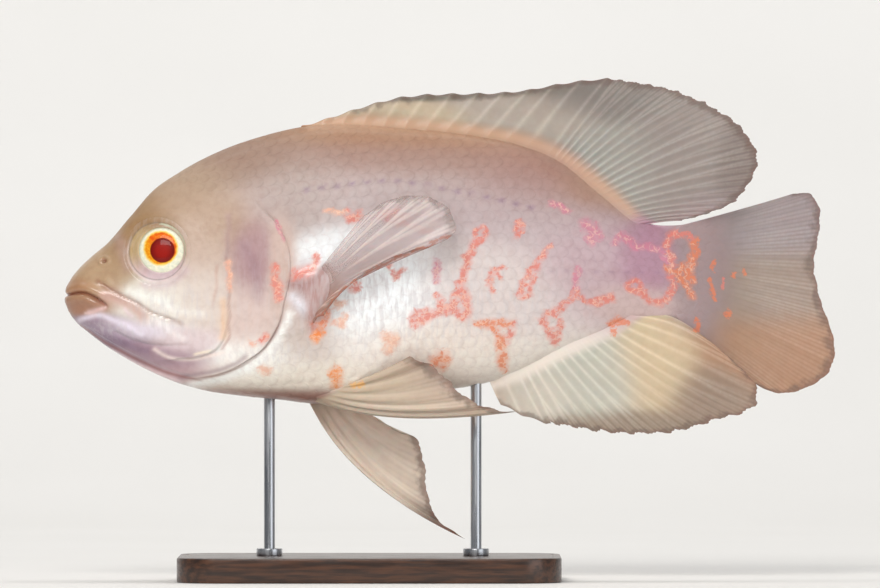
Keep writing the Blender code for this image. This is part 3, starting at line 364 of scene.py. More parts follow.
# Markings of the body and the other fins: tone, half width, and the line that each follows
MARKS = {
    "tail spot, top": ("red", 0.8, (
        (195.2, 18.5), (195.9, 20.8), (198.5, 21.7), (201.7, 21.1), (203.7, 19.5),
    )),
    "tail spot, rear": ("orange", 1.0, (
        (203.7, 19.5), (204.3, 15.6), (203.3, 12.3), (202.0, 9.7), (203.0, 6.5),
    )),
    "tail spot, front": ("red", 0.8, ((195.2, 18.5), (194.9, 16.2), (196.2, 13.9), (196.9, 11.0))),
    "tail spot, cross": ("orange", 0.8, (
        (194.9, 10.4), (197.8, 8.8), (200.1, 6.8), (202.4, 2.9), (203.3, 1.0),
    )),
    "tail spot, knot": ("orange", 1.1, ((200.4, 10.4), (201.7, 8.1))),
    "stalk ring": ("red", 0.6, (
        (181.9, 4.5), (183.2, 6.5), (185.2, 6.5), (186.5, 4.5), (185.2, 2.6), (182.9, 2.6), (181.9, 4.5),
    )),
    "stalk hook": ("red", 0.8, (
        (186.5, 3.2), (187.8, 1.0), (190.0, -0.7), (192.6, -1.0), (194.9, 0.3), (196.5, 2.6),
        (197.2, 5.2), (196.2, 7.5),
    )),
    "stalk crest": ("pink", 0.8, (
        (177.7, 18.5), (180.3, 21.1), (182.6, 19.5), (183.9, 17.2), (186.8, 17.2), (190.0, 17.2),
    )),
    "stalk rise": ("pink", 0.7, ((190.0, 17.2), (193.3, 15.6), (195.2, 12.3))),
    "back patch": ("pink", 1.3, ((168.6, 24.3), (170.6, 23.0), (172.2, 20.8))),
    "back patch, low": ("pink", 0.8, ((169.3, 19.8), (170.6, 18.5))),
    "upper streak": ("pink", 0.6, ((157.3, 31.5), (159.2, 30.8), (161.2, 29.5), (162.8, 28.5))),
    "small ring": ("red", 0.6, ((145.6, 22.7), (146.6, 25.0), (148.2, 24.6), (147.6, 22.4), (146.6, 20.8))),
    "bar, rear": ("red", 0.6, (
        (156.6, 17.2), (154.7, 14.3), (152.7, 11.0), (151.4, 7.1), (150.5, 3.2), (149.2, 1.0),
    )),
    "bar, front": ("red", 0.6, ((155.3, 15.6), (152.4, 11.7), (149.8, 9.1), (148.2, 5.8), (146.9, 1.9))),
    "bar, foot": ("red", 0.6, ((146.9, 1.3), (149.5, 1.0))),
    "small bow": ("red", 0.6, ((141.4, 10.4), (139.1, 9.7), (137.5, 7.8), (137.5, 5.2), (138.2, 2.9))),
    "small bow, top": ("red", 0.5, ((139.1, 9.7), (140.7, 7.1))),
    "fork, stem": ("pink", 0.7, ((166.0, 10.4), (165.4, 7.1), (165.1, 3.9))),
    "fork, rear": ("red", 0.6, (
        (165.1, 3.2), (166.7, 0.6), (169.9, -0.7), (173.2, 0.3), (176.7, 1.6), (177.4, 0.3),
        (173.8, -1.0), (169.9, -1.3),
    )),
    "fork, front": ("red", 0.7, ((165.4, 2.6), (163.4, -0.3), (160.9, -2.0), (158.9, -3.9))),
    "loop, front": ("red", 0.8, (
        (158.9, -3.9), (156.0, -4.5), (154.7, -6.5), (155.7, -9.1), (157.3, -11.0), (158.3, -13.6),
    )),
    "loop, rear": ("red", 0.7, ((158.9, -3.9), (160.2, -6.5), (159.9, -10.4), (158.6, -13.9))),
    "hammer, bar": ("orange", 0.8, (
        (133.6, -7.8), (136.2, -7.8), (138.8, -7.1), (142.0, -7.5), (144.6, -7.8),
    )),
    "hammer, rear": ("red", 0.7, ((145.0, -7.8), (144.3, -11.0), (143.0, -13.3))),
    "hammer, front": ("orange", 0.6, ((138.2, -8.4), (139.8, -11.4))),
    "hammer, stem": ("orange", 1.1, ((140.7, -12.3), (141.1, -16.2), (141.7, -20.1), (141.7, -21.7))),
    "comma": ("orange", 0.9, ((177.4, -11.0), (177.1, -8.1), (179.0, -6.8), (181.3, -7.5))),
    "tail streak, upper": ("orange", 0.5, ((210.1, 13.0), (209.8, 9.7))),
    "tail streak, lower": ("orange", 0.6, ((209.2, 6.5), (209.5, 3.2), (210.8, 0.3))),
    "tail dot, first": ("orange", 0.6, ((217.0, 8.8), (217.0, 7.5))),
    "tail dot, second": ("orange", 0.5, ((220.2, 9.4), (220.2, 8.4))),
    "tail dot, third": ("orange", 0.8, ((214.7, -3.9), (215.0, -5.5))),
    "tail dot, fourth": ("orange", 0.8, ((205.0, -7.1), (204.6, -9.7))),
    "tail dot, fifth": ("red", 0.4, ((213.1, 6.5), (213.4, 3.9))),
    "long bar, ring": ("red", 0.6, (
        (132.3, 19.5), (133.3, 22.7), (135.6, 23.3), (136.2, 20.8), (134.6, 18.8), (132.3, 19.5),
    )),
    "long bar": ("red", 0.8, ((133.0, 18.8), (131.3, 15.6), (130.0, 12.3), (129.1, 8.1), (127.8, 5.2))),
    "long bar, spur": ("red", 0.5, ((131.3, 14.9), (129.1, 13.9))),
    "net, rear": ("red", 1.0, ((127.8, 5.2), (129.1, 2.3), (130.0, -1.6), (129.7, -5.5))),
    "net, middle": ("red", 0.8, ((127.8, 4.5), (126.2, 1.3), (125.2, -2.3), (126.5, -4.5), (129.1, -5.8))),
    "net, slope": ("red", 1.0, ((125.2, -2.6), (121.6, -3.6), (118.0, -5.2), (114.8, -6.8), (112.9, -8.1))),
    "net, rise": ("red", 0.7, ((121.6, -3.6), (121.6, 0.3), (120.0, 1.3))),
    "net, second rise": ("red", 0.6, ((118.0, -5.2), (116.4, -3.2), (114.5, -4.5))),
    "net, end": ("red", 0.7, ((112.9, -8.1), (112.2, -5.2), (114.2, -3.9))),
    "pink bar": ("pink", 0.8, ((120.3, 12.3), (120.3, 9.7), (120.0, 6.5))),
    "fork under the fin": ("red", 0.6, ((104.4, 11.7), (106.0, 9.7), (107.0, 6.8))),
    "fork under the fin, rear": ("red", 0.6, ((109.6, 9.7), (108.3, 8.8), (107.0, 6.8))),
    "shoulder patch": ("red", 1.2, ((74.9, 8.1), (76.9, 8.8), (79.1, 9.7))),
    "shoulder patch, tail": ("red", 0.6, ((79.1, 9.7), (81.4, 11.7))),
    "shoulder fleck": ("red", 0.6, ((80.8, 14.6), (82.0, 12.6))),
    "breast spot": ("vivid", 1.3, ((87.6, -23.4), (87.9, -26.6))),
    "pelvic spot": ("gold", 0.8, ((93.4, -27.6), (96.0, -27.6))),
    "flank spot": ("orange", 1.5, ((120.3, -19.8), (122.6, -18.8), (121.6, -20.4))),
    "faint patch": ("faint", 1.1, ((103.8, -11.7), (106.4, -13.0), (104.4, -15.9))),
    "faint patch, rear": ("faint", 0.8, ((107.0, -11.7), (107.3, -13.6))),
    "upper line": ("faint", 0.5, ((84.0, 28.9), (87.2, 28.5), (90.5, 28.2))),
    "upper ring": ("red", 0.8, ((91.1, 28.2), (92.1, 25.9), (94.4, 25.9), (95.3, 28.2))),
    "upper net": ("red", 0.8, (
        (102.5, 27.2), (104.4, 28.5), (106.7, 27.6), (108.3, 28.5), (109.3, 25.9), (107.7, 24.6),
        (105.1, 25.9), (102.5, 27.2),
    )),
    "upper net, tail": ("red", 0.6, ((109.3, 25.3), (111.9, 23.3), (114.8, 23.0), (118.0, 22.0))),
    "under the fin": ("red", 0.6, ((92.1, 4.2), (93.7, 2.6), (95.0, 3.9), (94.0, 5.8))),
    "under the fin, low": ("faint", 0.7, ((86.6, 0.0), (88.2, -2.0), (90.2, -1.0))),
    "under the fin, lowest": ("faint", 0.7, ((86.6, -7.1), (89.8, -8.1), (90.5, -5.2))),
    "cover spot": ("red", 0.8, ((67.8, 11.0), (68.4, 10.0))),
    "cover bar": ("red", 1.0, ((68.1, 6.8), (69.1, 4.2), (69.1, 1.0))),
    "cover spot, low": ("red", 0.7, ((63.9, -13.3), (65.2, -11.7))),
    "throat spot": ("faint", 1.0, ((64.2, -22.4), (65.5, -23.0))),
    "line at the slit": ("pink", 0.4, ((68.1, 25.3), (69.7, 23.0), (70.7, 19.5))),
    "cover dot": ("faint", 0.6, ((60.3, -13.6), (61.0, -14.6))),
    "cheek line": ("faint", 0.6, ((52.9, 12.3), (53.5, 8.1), (53.2, 3.2))),
    "pectoral root": ("vivid", 1.0, ((82.7, -10.4), (81.1, -12.3))),
    "pectoral root, upper": ("orange", 0.8, ((85.0, -4.5), (83.3, -8.1))),
}


def srgb(colour):
    """The linear colour of one given as red, green and blue from 0 to 255."""
    value = np.asarray(colour, float) / 255
    return np.where(value <= 0.04045, value / 12.92, ((value + 0.055) / 1.055) ** 2.4)


def smooth(points):
    """A smooth function of the first coordinate through the points, by cubic Hermite spans."""
    x = np.array([p[0] for p in points], float)
    y = np.array([p[1] for p in points], float)
    slope = np.gradient(y, x)

    def value(at):
        at = np.clip(at, x[0], x[-1])
        i = np.clip(np.searchsorted(x, at, side="right") - 1, 0, len(x) - 2)
        span = x[i + 1] - x[i]
        t = (at - x[i]) / span
        start = (2 * t**3 - 3 * t**2 + 1) * y[i] + (t**3 - 2 * t**2 + t) * span * slope[i]
        end = (3 * t**2 - 2 * t**3) * y[i + 1] + (t**3 - t**2) * span * slope[i + 1]
        return start + end

    return value


def along(points, share):
    """The point at this share of the length of a smooth line through the points."""
    p = np.array(points, float)
    length = np.concatenate([[0], np.cumsum(np.linalg.norm(np.diff(p, axis=0), axis=1))])
    at = np.asarray(share) * length[-1]
    return np.stack([smooth(np.column_stack([length, p[:, k]]))(at) for k in range(p.shape[1])], axis=-1)


def ease(low, high, value):
    """0 below low, 1 above high, and smooth between. Low may be the larger one."""
    t = np.clip((np.asarray(value, float) - low) / (high - low), 0, 1)
    return t * t * (3 - 2 * t)


def unit(vectors):
    """The same directions, each of length one."""
    return vectors / np.maximum(np.linalg.norm(vectors, axis=-1, keepdims=True), 1e-12)


def place(points):
    """Points of the fish, as (behind, side, height) in millimetres, in metres in the frame."""
    return (np.asarray(points, float) + (-SNOUT_AHEAD, 0, MOUTH_LEVEL)) * MM


top = smooth(TOP_LINE)
bottom = smooth(BOTTOM_LINE)
half_width = smooth(HALF_WIDTH)
widest_level = smooth(WIDEST_LEVEL)
back_fullness = smooth(BACK_FULLNESS)
belly_fullness = smooth(BELLY_FULLNESS)


def midline(behind):
    """How far the backbone has turned away from the left side."""
    return BEND * np.maximum(0, np.asarray(behind, float) - BEND_START) ** 2


def flank(behind, height):
    """How far the flesh reaches to each side of the backbone at this point of the outline."""
    level = widest_level(behind)
    up = height >= level
    reach = np.where(up, top(behind) - level, level - bottom(behind))
    fullness = np.where(up, back_fullness(behind), belly_fullness(behind))
    share = np.clip(np.abs(height - level) / reach, 0, 1)
    return half_width(behind) * (1 - share**fullness) ** (1 / fullness)


def section(behind, angle):
    """Side and height of the flesh round a cross-section, from the back over the right side."""
    level = widest_level(behind)
    across, up = np.sin(angle), np.cos(angle)
    above = up >= 0
    reach = np.where(above, top(behind) - level, level - bottom(behind))
    fullness = np.where(above, back_fullness(behind), belly_fullness(behind))
    side = np.sign(across) * np.abs(across) ** (2 / fullness) * half_width(behind)
    height = level + np.sign(up) * np.abs(up) ** (2 / fullness) * reach
    return side, height


def flesh(behind, angle):
    """Points of the bare flesh, as (behind, side, height)."""
    side, height = section(behind, angle)
    return np.stack(np.broadcast_arrays(behind, side + midline(behind), height), axis=-1)


def outward(behind, angle):
    """The outward direction of the bare flesh."""
    step_back, step_round = 0.12, 0.004
    backward = flesh(behind + step_back, angle) - flesh(np.maximum(behind - step_back, 0), angle)
    downward = flesh(behind, angle + step_round) - flesh(behind, angle - step_round)
    return unit(np.cross(backward, downward))


def to_line(line, behind, height):
    """Distance from each point to a line of the side view, positive above or behind it.

    Also gives how far along the line the nearest place is, in millimetres.
    """
    points = np.array(line, float)
    nearest = np.full(np.shape(behind), 1e9)
    sign = np.ones(np.shape(behind))
    reached = np.zeros(np.shape(behind))
    travelled = 0.0
    for (b0, h0), (b1, h1) in zip(points, points[1:]):
        run_b, run_h = b1 - b0, h1 - h0
        length = math.hypot(run_b, run_h)
        share = np.clip(((behind - b0) * run_b + (height - h0) * run_h) / length**2, 0, 1)
        off_b, off_h = behind - b0 - share * run_b, height - h0 - share * run_h
        gap = np.hypot(off_b, off_h)
        closer = gap < nearest
        sign = np.where(closer, np.sign(run_b * off_h - run_h * off_b), sign)
        reached = np.where(closer, travelled + share * length, reached)
        nearest = np.where(closer, gap, nearest)
        travelled += length
    return nearest * sign, reached


def length_of(line):
    """How long a line of the side view is."""
    return float(np.linalg.norm(np.diff(np.array(line, float), axis=0), axis=1).sum())


def rounded(line):
    """The same line with its corners smoothed."""
    spacing = 1.2
    return along(line, np.linspace(0, 1, max(3, round(length_of(line) / spacing))))


def bump(distance, width):
    """1 at no distance, and next to nothing at twice the width."""
    return np.exp(-((distance / width) ** 2))


def from_spot(spot, behind, height, flatness=1.0):
    """Distance from the middle of a round form of the side view."""
    return np.hypot(behind - spot[0], (height - spot[1]) * flatness)


def laid_over(colour, other, share):
    """The colour with this share of another one laid over it."""
    return colour + (other - colour) * share[..., None]


CLEFT_LINE = rounded(CLEFT)
CLEFT_LENGTH = length_of(CLEFT_LINE)
GILL_LINE = rounded(GILL_EDGE)
CHEEK_LINE = rounded(CHEEK_EDGE)


def slit_strength(behind, height):
    """How far the gill cover lifts off the body: fully low down, less above, not at its ends."""
    lifted = 0.42 + 0.58 * ease(2, -10, height)
    return lifted * ease(SLIT_TOP, 22, height) * np.where(height < 0, ease(36, 46, behind), 1.0)


def relief(behind, height):
    """How far the skin of the head stands out of the bare flesh, in millimetres."""
    behind, height = np.broadcast_arrays(np.asarray(behind, float), np.asarray(height, float))
    lift = np.zeros(behind.shape)
    head_end = 92
    head = behind < head_end
    b, h = behind[head], height[head]

    # The two lips, and the crease where they meet
    off, reached = to_line(CLEFT_LINE, b, h)
    mouth = ease(CLEFT_LENGTH, CLEFT_LENGTH - 5, reached)
    end = ease(CLEFT_LENGTH + 0.1, CLEFT_LENGTH - 1.5, reached)
    tip = 0.45 + 0.55 * ease(0, 6, b)
    part = 1.0 * tip * mouth * bump(off - 1.75, 1.5) * ease(-0.2, 0.5, off)
    part = part + 1.1 * tip * mouth * bump(off + 1.9, 1.7) * ease(0.2, -0.5, off)
    part = part - 0.7 * end * bump(off, 0.5)

    for line, depth, width, lip, lip_width in FOLDS:
        fold = rounded(line)
        full = length_of(fold)
        off, reached = to_line(fold, b, h)
        fade = ease(0, 3, reached) * ease(full, full - 4, reached)
        part = part - depth * fade * bump(off, width)
        part = part + lip * fade * ease(0, width, off) * bump(off, lip_width)

    for line, ridge, width, start in RIDGES:
        off, reached = to_line(rounded(line), b, h)
        part = part + ridge * bump(off, width) * ease(0, start, reached) * ease(34, 24, reached)

    # The rear edge of the cheek, and the free edge of the gill cover
    cheek_off, reached = to_line(CHEEK_LINE, b, h)
    raised_front = 0.3 * ease(0.3, -0.5, cheek_off) * bump(cheek_off, 4)
    sunk_rear = 0.5 * ease(-0.3, 0.4, cheek_off) * bump(cheek_off, 3)
    part = part + ease(0, 9, reached) * (raised_front - sunk_rear)
    gill_off, _ = to_line(GILL_LINE, b, h)
    raised_cover, sunk_body = 0.4 * bump(gill_off, 7), -0.5 * bump(gill_off, 5)
    part = part + slit_strength(b, h) * np.where(gill_off <= 0, raised_cover, sunk_body)

    # Scales in the skin of the cheek and the gill cover, clear of the eye
    on_cheek = ease(SCALES_FROM, SCALES_FROM + 6, b) * ease(30, 24, h) * ease(-20, -15, h)
    on_cheek = on_cheek * ease(11.5, 14, from_spot(EYE, b, h)) * ease(0, 1.5, -gill_off)
    on_cheek = on_cheek * ease(0.5, 2.2, np.abs(cheek_off - 1.5))
    part = part + CHEEK_SCALE_LIFT * on_cheek * scale_cover(b, h, CHEEK_SCALE_PITCH, CHEEK_SCALE_ROW)

    # The nostril with its rim, and the swelling round the eye
    gap = from_spot(NOSTRIL, b, h, NOSTRIL_FLATNESS)
    part = part - 1.0 * bump(gap, 0.75) + 0.3 * bump(gap - 1.5, 0.6)
    gap = from_spot(SOCKET, b, h)
    part = part + 0.35 * bump(gap - 11.5, 3.2) - socket(b, h)
    lift[head] = part

    return lift + 1.5 * fin_pad(behind, height)


def socket(behind, height):
    """How deep the skin is cut in under the lids, which close the cut."""
    return 2.2 * ease(10.7, 9.5, from_spot(SOCKET, behind, height))


def fin_pad(behind, height):
    """1 on the fleshy pad that carries the pectoral fin, 0 off it."""
    middle = 4.2 - 0.5 * (behind - 74)
    half = 4.4 + 0.72 * (np.clip(behind, 74, 82) - 74)
    across = np.abs(height - middle) / half
    return ease(72.6, 79.5, behind) * ease(87.5, 82.6, behind) * ease(1.2, 0.72, across)


def scale_cover(behind, height, pitch, row):
    """How high overlapping scales stand in a flat pattern of them, from 0 to 1."""
    highest = np.zeros(np.shape(behind))
    line = np.floor(height / row)
    for next_line in (0, 1):
        level = line + next_line
        shift = 0.5 * np.mod(level, 2)
        site = np.floor(behind / pitch - shift)
        for next_site in (0, 1):
            back = (behind / pitch - site - next_site - shift) / 0.8
            across = (height / row - level) / 0.6
            reach = np.hypot(back, across)
            stands = 0.42 * (back + 1) + 0.16 * (1 - reach**2)
            highest = np.where(reach < 1, np.maximum(highest, stands), highest)
    return highest


def skin_points(behind, angle, extra):
    """Points of the skin, raised by extra along its outward direction."""
    base = flesh(behind, angle)
    raised = relief(behind, base[..., 2]) + extra
    return base + outward(behind, angle) * raised[..., None]


def region(behind, height, middle, level, reach_back, reach_up):
    """1 in the middle of a soft region of the side view, falling off over its reach."""
    return np.exp(-(((behind - middle) / reach_back) ** 2) - ((height - level) / reach_up) ** 2)


def tones(table, behind, height):
    """The colour at each point, blended from the tones of the regions round it."""
    total = np.full(np.shape(behind), 1e-6)
    colour = np.zeros((*np.shape(behind), 3))
    for middle, level, reach_back, reach_up, tone in table.values():
        weight = region(behind, height, middle, level, reach_back, reach_up) + 1e-7
        total = total + weight
        colour = colour + weight[..., None] * srgb(tone)
    return colour / total[..., None]


def near(line, reach, behind, height):
    """Which points lie in the box round a line, widened by its reach."""
    low, high = np.min(line, axis=0) - reach, np.max(line, axis=0) + reach
    return (behind > low[0]) & (behind < high[0]) & (height > low[1]) & (height < high[1])


def brushed(colour, behind, height):
    """The colour with the soft strokes laid over it, among them painted highlights and painted shade."""
    strayed = behind + 0.22 * np.sin(0.9 * height + 0.4 * behind)
    for stroke, half, strength, line in STROKES_OF_TONE_AND_PAINTED_LIGHT.values():
        here = near(line, 3 * half, behind, height)
        off, _ = to_line(rounded(line), strayed[here], height[here])
        colour[here] = laid_over(colour[here], srgb(stroke), strength * bump(off, half))
    return colour


def markings(table, behind, height):
    """How deep each point lies in a marking, 0.5 at its edge and 1 on its line, and its tone."""
    depth = np.zeros(np.shape(behind))
    stain = np.zeros((*np.shape(behind), 3))
    stain[...] = srgb(STAINS["red"])
    strayed = behind + 0.32 * np.sin(1.3 * height + 0.6 * behind) + 0.14 * np.sin(3.3 * behind - 2.1 * height)
    risen = height + 0.32 * np.sin(1.2 * behind - 0.8 * height) + 0.14 * np.sin(2.9 * height + 2.6 * behind)
    for tone, half, line in table.values():
        reach = 2 * MARK_SPREAD * half
        here = np.flatnonzero(near(line, reach, strayed, risen))
        off, _ = to_line(line, strayed[here], risen[here])
        share = 1 - np.abs(off) / reach
        deeper = share > depth[here]
        depth[here[deeper]] = share[deeper]
        stain[here[deeper]] = srgb(STAINS[tone])
    return depth, stain


def deselect():
    """Leaves nothing selected."""
    bpy.ops.object.select_all(action="DESELECT")


def choose(obj):
    """Makes one object the only selected and the active one."""
    deselect()
    obj.select_set(True)
    bpy.context.view_layer.objects.active = obj


def paint(obj, name, values):
    """Stores a number or colour for each point of a mesh."""
    values = np.asarray(values, float)
    if values.ndim == 1:
        layer = obj.data.attributes.new(name, "FLOAT", "POINT")
        layer.data.foreach_set("value", values.astype(np.float32))
        return
    layer = obj.data.attributes.new(name, "FLOAT_COLOR", "POINT")
    full = np.ones((len(values), 4), np.float32)
    full[:, :3] = values
    layer.data.foreach_set("color", full.ravel())


def grid_sheet(name, columns, rows):
    """A sheet of columns by rows points, and the column and row of each of its points."""
    deselect()
    bpy.ops.mesh.primitive_grid_add(x_subdivisions=columns - 1, y_subdivisions=rows - 1, size=1)
    sheet = bpy.context.object
    sheet.name = name
    flat = np.zeros(len(sheet.data.vertices) * 3)
    sheet.data.vertices.foreach_get("co", flat)
    flat = flat.reshape(-1, 3)
    column = np.rint((flat[:, 0] + 0.5) * (columns - 1)).astype(int)
    row = np.rint((flat[:, 1] + 0.5) * (rows - 1)).astype(int)
    return sheet, column, row


def set_points(obj, points):
    """Moves every point of a mesh to its place, given in millimetres of the fish."""
    obj.data.vertices.foreach_set("co", place(points).ravel().astype(np.float32))
    obj.data.update()


def close_and_turn_out(obj, fill=True):
    """Joins doubled points, fills the open rims where asked and makes the faces agree."""
    choose(obj)
    bpy.ops.object.mode_set(mode="EDIT")
    bpy.ops.mesh.select_all(action="SELECT")
    bpy.ops.mesh.remove_doubles(threshold=DOUBLED)
    if fill:
        bpy.ops.mesh.select_all(action="DESELECT")
        bpy.ops.mesh.select_mode(type="EDGE")
        bpy.ops.mesh.select_non_manifold()
        bpy.ops.mesh.fill_holes(sides=0)
        bpy.ops.mesh.select_all(action="SELECT")
    bpy.ops.mesh.normals_make_consistent(inside=False)
    bpy.ops.object.mode_set(mode="OBJECT")


def shade(obj, angle):
    """Smooth shading, with an edge kept where the surface turns by more than this angle."""
    choose(obj)
    bpy.ops.object.shade_smooth_by_angle(angle=math.radians(angle))


def finish_piece(obj, finish, replaced=()):
    """Gives a piece its material, its body and the solids that it stands for."""
    obj.data.materials.clear()
    obj.data.materials.append(finish)
    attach(obj, "root")
    if replaced:
        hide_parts(*replaced)


def gill_stations(angles):
    """How far back each line along the body crosses the edge of the gill cover."""
    step = 0.25
    behind = np.arange(20, 84, step)
    line = GILL_LINE[::-1]
    _, height = section(behind[:, None], angles[None, :])
    edge = np.interp(height, line[:, 1], line[:, 0])
    ahead = behind[:, None] - edge
    first = np.argmax(ahead > 0, axis=0)
    columns = np.arange(len(angles))
    before, after = ahead[first - 1, columns], ahead[first, columns]
    return behind[first - 1] + step * before / (before - after)


def build_skin():
    """One closed skin from the lips to the root of the tail fin, with the gill covers' free edge.

    Its rings run back over the head, turn in round the free edge of the gill covers and go on
    behind the slit. Each ring of the flap has how far behind the edge it lies and how far out.
    """
    sides, head_rings, body_rings = 286, 205, 112
    crowded_at_snout, crowded_at_slit = 1.65, 1.06
    flap = (
        (0.2, 0.3), (0.4, 0.1), (0.34, -0.12), (-0.3, -0.28), (-0.5, -0.44), (-0.2, -0.56), (0.4, -0.52),
    )
    angles = np.linspace(0, 2 * math.pi, sides + 1)
    edge = gill_stations(angles)
    _, edge_height = section(edge, angles)
    strength = slit_strength(edge, edge_height)

    rings, lifts = [], []
    for share in np.linspace(0, 1, head_rings) ** crowded_at_snout:
        rings.append(edge * share)
        lifts.append(np.zeros(sides + 1))
    for step, (offset, lift) in enumerate(flap):
        slack = 0.09 * (step + 1)
        rings.append(edge + strength * offset + (1 - strength) * slack)
        lifts.append(strength * lift)
    start = edge + 0.85
    for share in np.linspace(0, 1, body_rings) ** crowded_at_slit:
        rings.append(start + (SKIN_END - start) * share)
        lifts.append(None)

    points = np.zeros((len(rings), sides + 1, 3))
    on_cover = 0.05
    for row, (behind, lift) in enumerate(zip(rings, lifts)):
        base = flesh(behind, angles)
        if head_rings <= row < head_rings + len(flap):
            raised = lift + (1 - strength) * relief(behind, base[:, 2])
        else:
            raised = relief(behind - on_cover, base[:, 2])
        points[row] = base + outward(behind, angles) * raised[:, None]
    tip = points[1].mean(axis=0)
    points[0] = tip + 0.3 * (points[1] - tip)

    skin, column, row = grid_sheet("skin", sides + 1, len(rings))
    set_points(skin, points[row, column])
    behind = np.array(rings)[row, column]
    height = points[row, column, 2]
    paint_skin(skin, behind, height)
    close_and_turn_out(skin)
    shade(skin, 50)
    return skin


def skin_tone(behind, height):
    """The body's colour with painted shade in the mouth, the folds, the gill slit and the nostril, and the
    pores of the lateral lines.
    """
    colour = brushed(tones(BODY_TONES, behind, height), behind, height)
    # Painted shade darkens the cleft of the mouth, the cheek and chin folds, the gill slit, more low down,
    # and the nostril.
    off, reached = to_line(CLEFT_LINE, behind, height)
    dark = 0.65 * bump(off, 0.6) * ease(CLEFT_LENGTH, CLEFT_LENGTH - 2, reached)
    for line, depth, width in ((CHEEK_FOLD, 0.36, 0.75), (CHIN_FOLD, 0.55, 0.45)):
        off, _ = to_line(rounded(line), behind, height)
        dark = np.maximum(dark, depth * bump(off, width))
    off, _ = to_line(GILL_LINE, behind, height)
    low = 0.12 + 0.55 * ease(2, -12, height)
    dark = np.maximum(dark, low * slit_strength(behind, height) * bump(off - 0.55, 0.4))
    gap = from_spot(NOSTRIL, behind, height, NOSTRIL_FLATNESS)
    dark = np.maximum(dark, 0.7 * bump(gap, 0.8))
    colour = laid_over(colour, srgb(CREASE_SHADE_TONE), dark)
    pores = np.zeros(np.shape(behind))
    for line, strength, width, length in ((LATERAL_LINE, 0.6, 0.7, 1.0), (LOWER_LATERAL_LINE, 0.3, 0.5, 0.9)):
        off, reached = to_line(line, behind, height)
        pore = bump(off, width) * bump(np.mod(reached, PORE_PITCH) - PORE_PITCH / 2, length)
        pores = np.maximum(pores, strength * pore)
    return laid_over(colour, srgb(PORE_TONE), pores)


def paint_skin(obj, behind, height):
    """Stores the tones, the markings and the shine of the skin for each point."""
    paint(obj, "tone", skin_tone(behind, height))
    depth, stain = markings(MARKS, behind, height)
    paint(obj, "mark", depth)
    paint(obj, "stain", stain)
    paint(obj, "pearl", pearl(behind, height))
    paint(obj, "wet", wetness(height))


def wetness(height):
    """How wet the skin shines: fully from the cheek down, little on the back."""
    return 0.15 + 0.85 * ease(30, 6, height)


def pearl(behind, height):
    """How much of the silvery layer shows through the skin: most on the flanks, cheeks and jaw."""
    silver = np.zeros(np.shape(behind))
    for middle, level, reach_back, reach_up, strength in SILVER:
        silver = silver + strength * region(behind, height, middle, level, reach_back, reach_up)
    return np.clip(silver, 0, 1)


def off_flank(behind, height, side):
    """The outward direction of one flank there."""
    step = 0.4
    slope_back = (flank(behind + step, height) - flank(behind - step, height)) / (2 * step)
    slope_up = (flank(behind, height + step) - flank(behind, height - step)) / (2 * step)
    return unit(np.array((-slope_back, side, -slope_up), float))


def eyeball_point(radius, turn, side):
    """A point of the eyeball, by its distance from the axis and the way round."""
    size, depth, stands_out = EYEBALL
    axis = Vector(off_flank(*EYE, side))
    tilt = Vector((0, 0, 1)).rotation_difference(axis).to_matrix()
    local = np.stack([
        radius * np.cos(turn),
        radius * np.sin(turn),
        depth * np.sqrt(np.maximum(0, 1 - (radius / size) ** 2)),
    ], axis=-1)
    surface = np.array((EYE[0], side * float(flank(*EYE)), EYE[1]))
    middle = surface + np.array(axis) * (stands_out - depth)
    return middle + local @ np.array(tilt).T


def build_eye(side_name, side, finish):
    """The eyeball: a glossy dome with a shallow groove round its pupil."""
    rings, sides = 64, 96
    ball, column, row = grid_sheet(f"eyeball_{side_name}", sides + 1, rings)
    turns = np.linspace(0, 2 * math.pi, sides + 1)[column]
    radii = (np.linspace(0.012, 0.93, rings) * EYEBALL[0])[row]
    points = eyeball_point(radii, turns, side)
    to_pupil = from_spot(PUPIL, points[:, 0], points[:, 2])
    to_iris = from_spot(IRIS, points[:, 0], points[:, 2])
    dip = 0.08 * bump(to_pupil - PUPIL[2], 0.5)
    points = points - off_flank(*EYE, side) * dip[:, None]
    set_points(ball, points)
    paint(ball, "to_pupil", to_pupil / PUPIL[2])
    paint(ball, "to_iris", to_iris / IRIS[2])
    paint(ball, "amber", ease(1.0, -1.0, points[:, 2] - IRIS[1] + 0.7 * (points[:, 0] - IRIS[0])))
    paint(ball, "to_lid", from_spot(EYE_OPENING, points[:, 0], points[:, 2]) / EYE_OPENING[2])
    close_and_turn_out(ball)
    shade(ball, 60)
    finish_piece(ball, finish, (f"eye_{side_name}",))


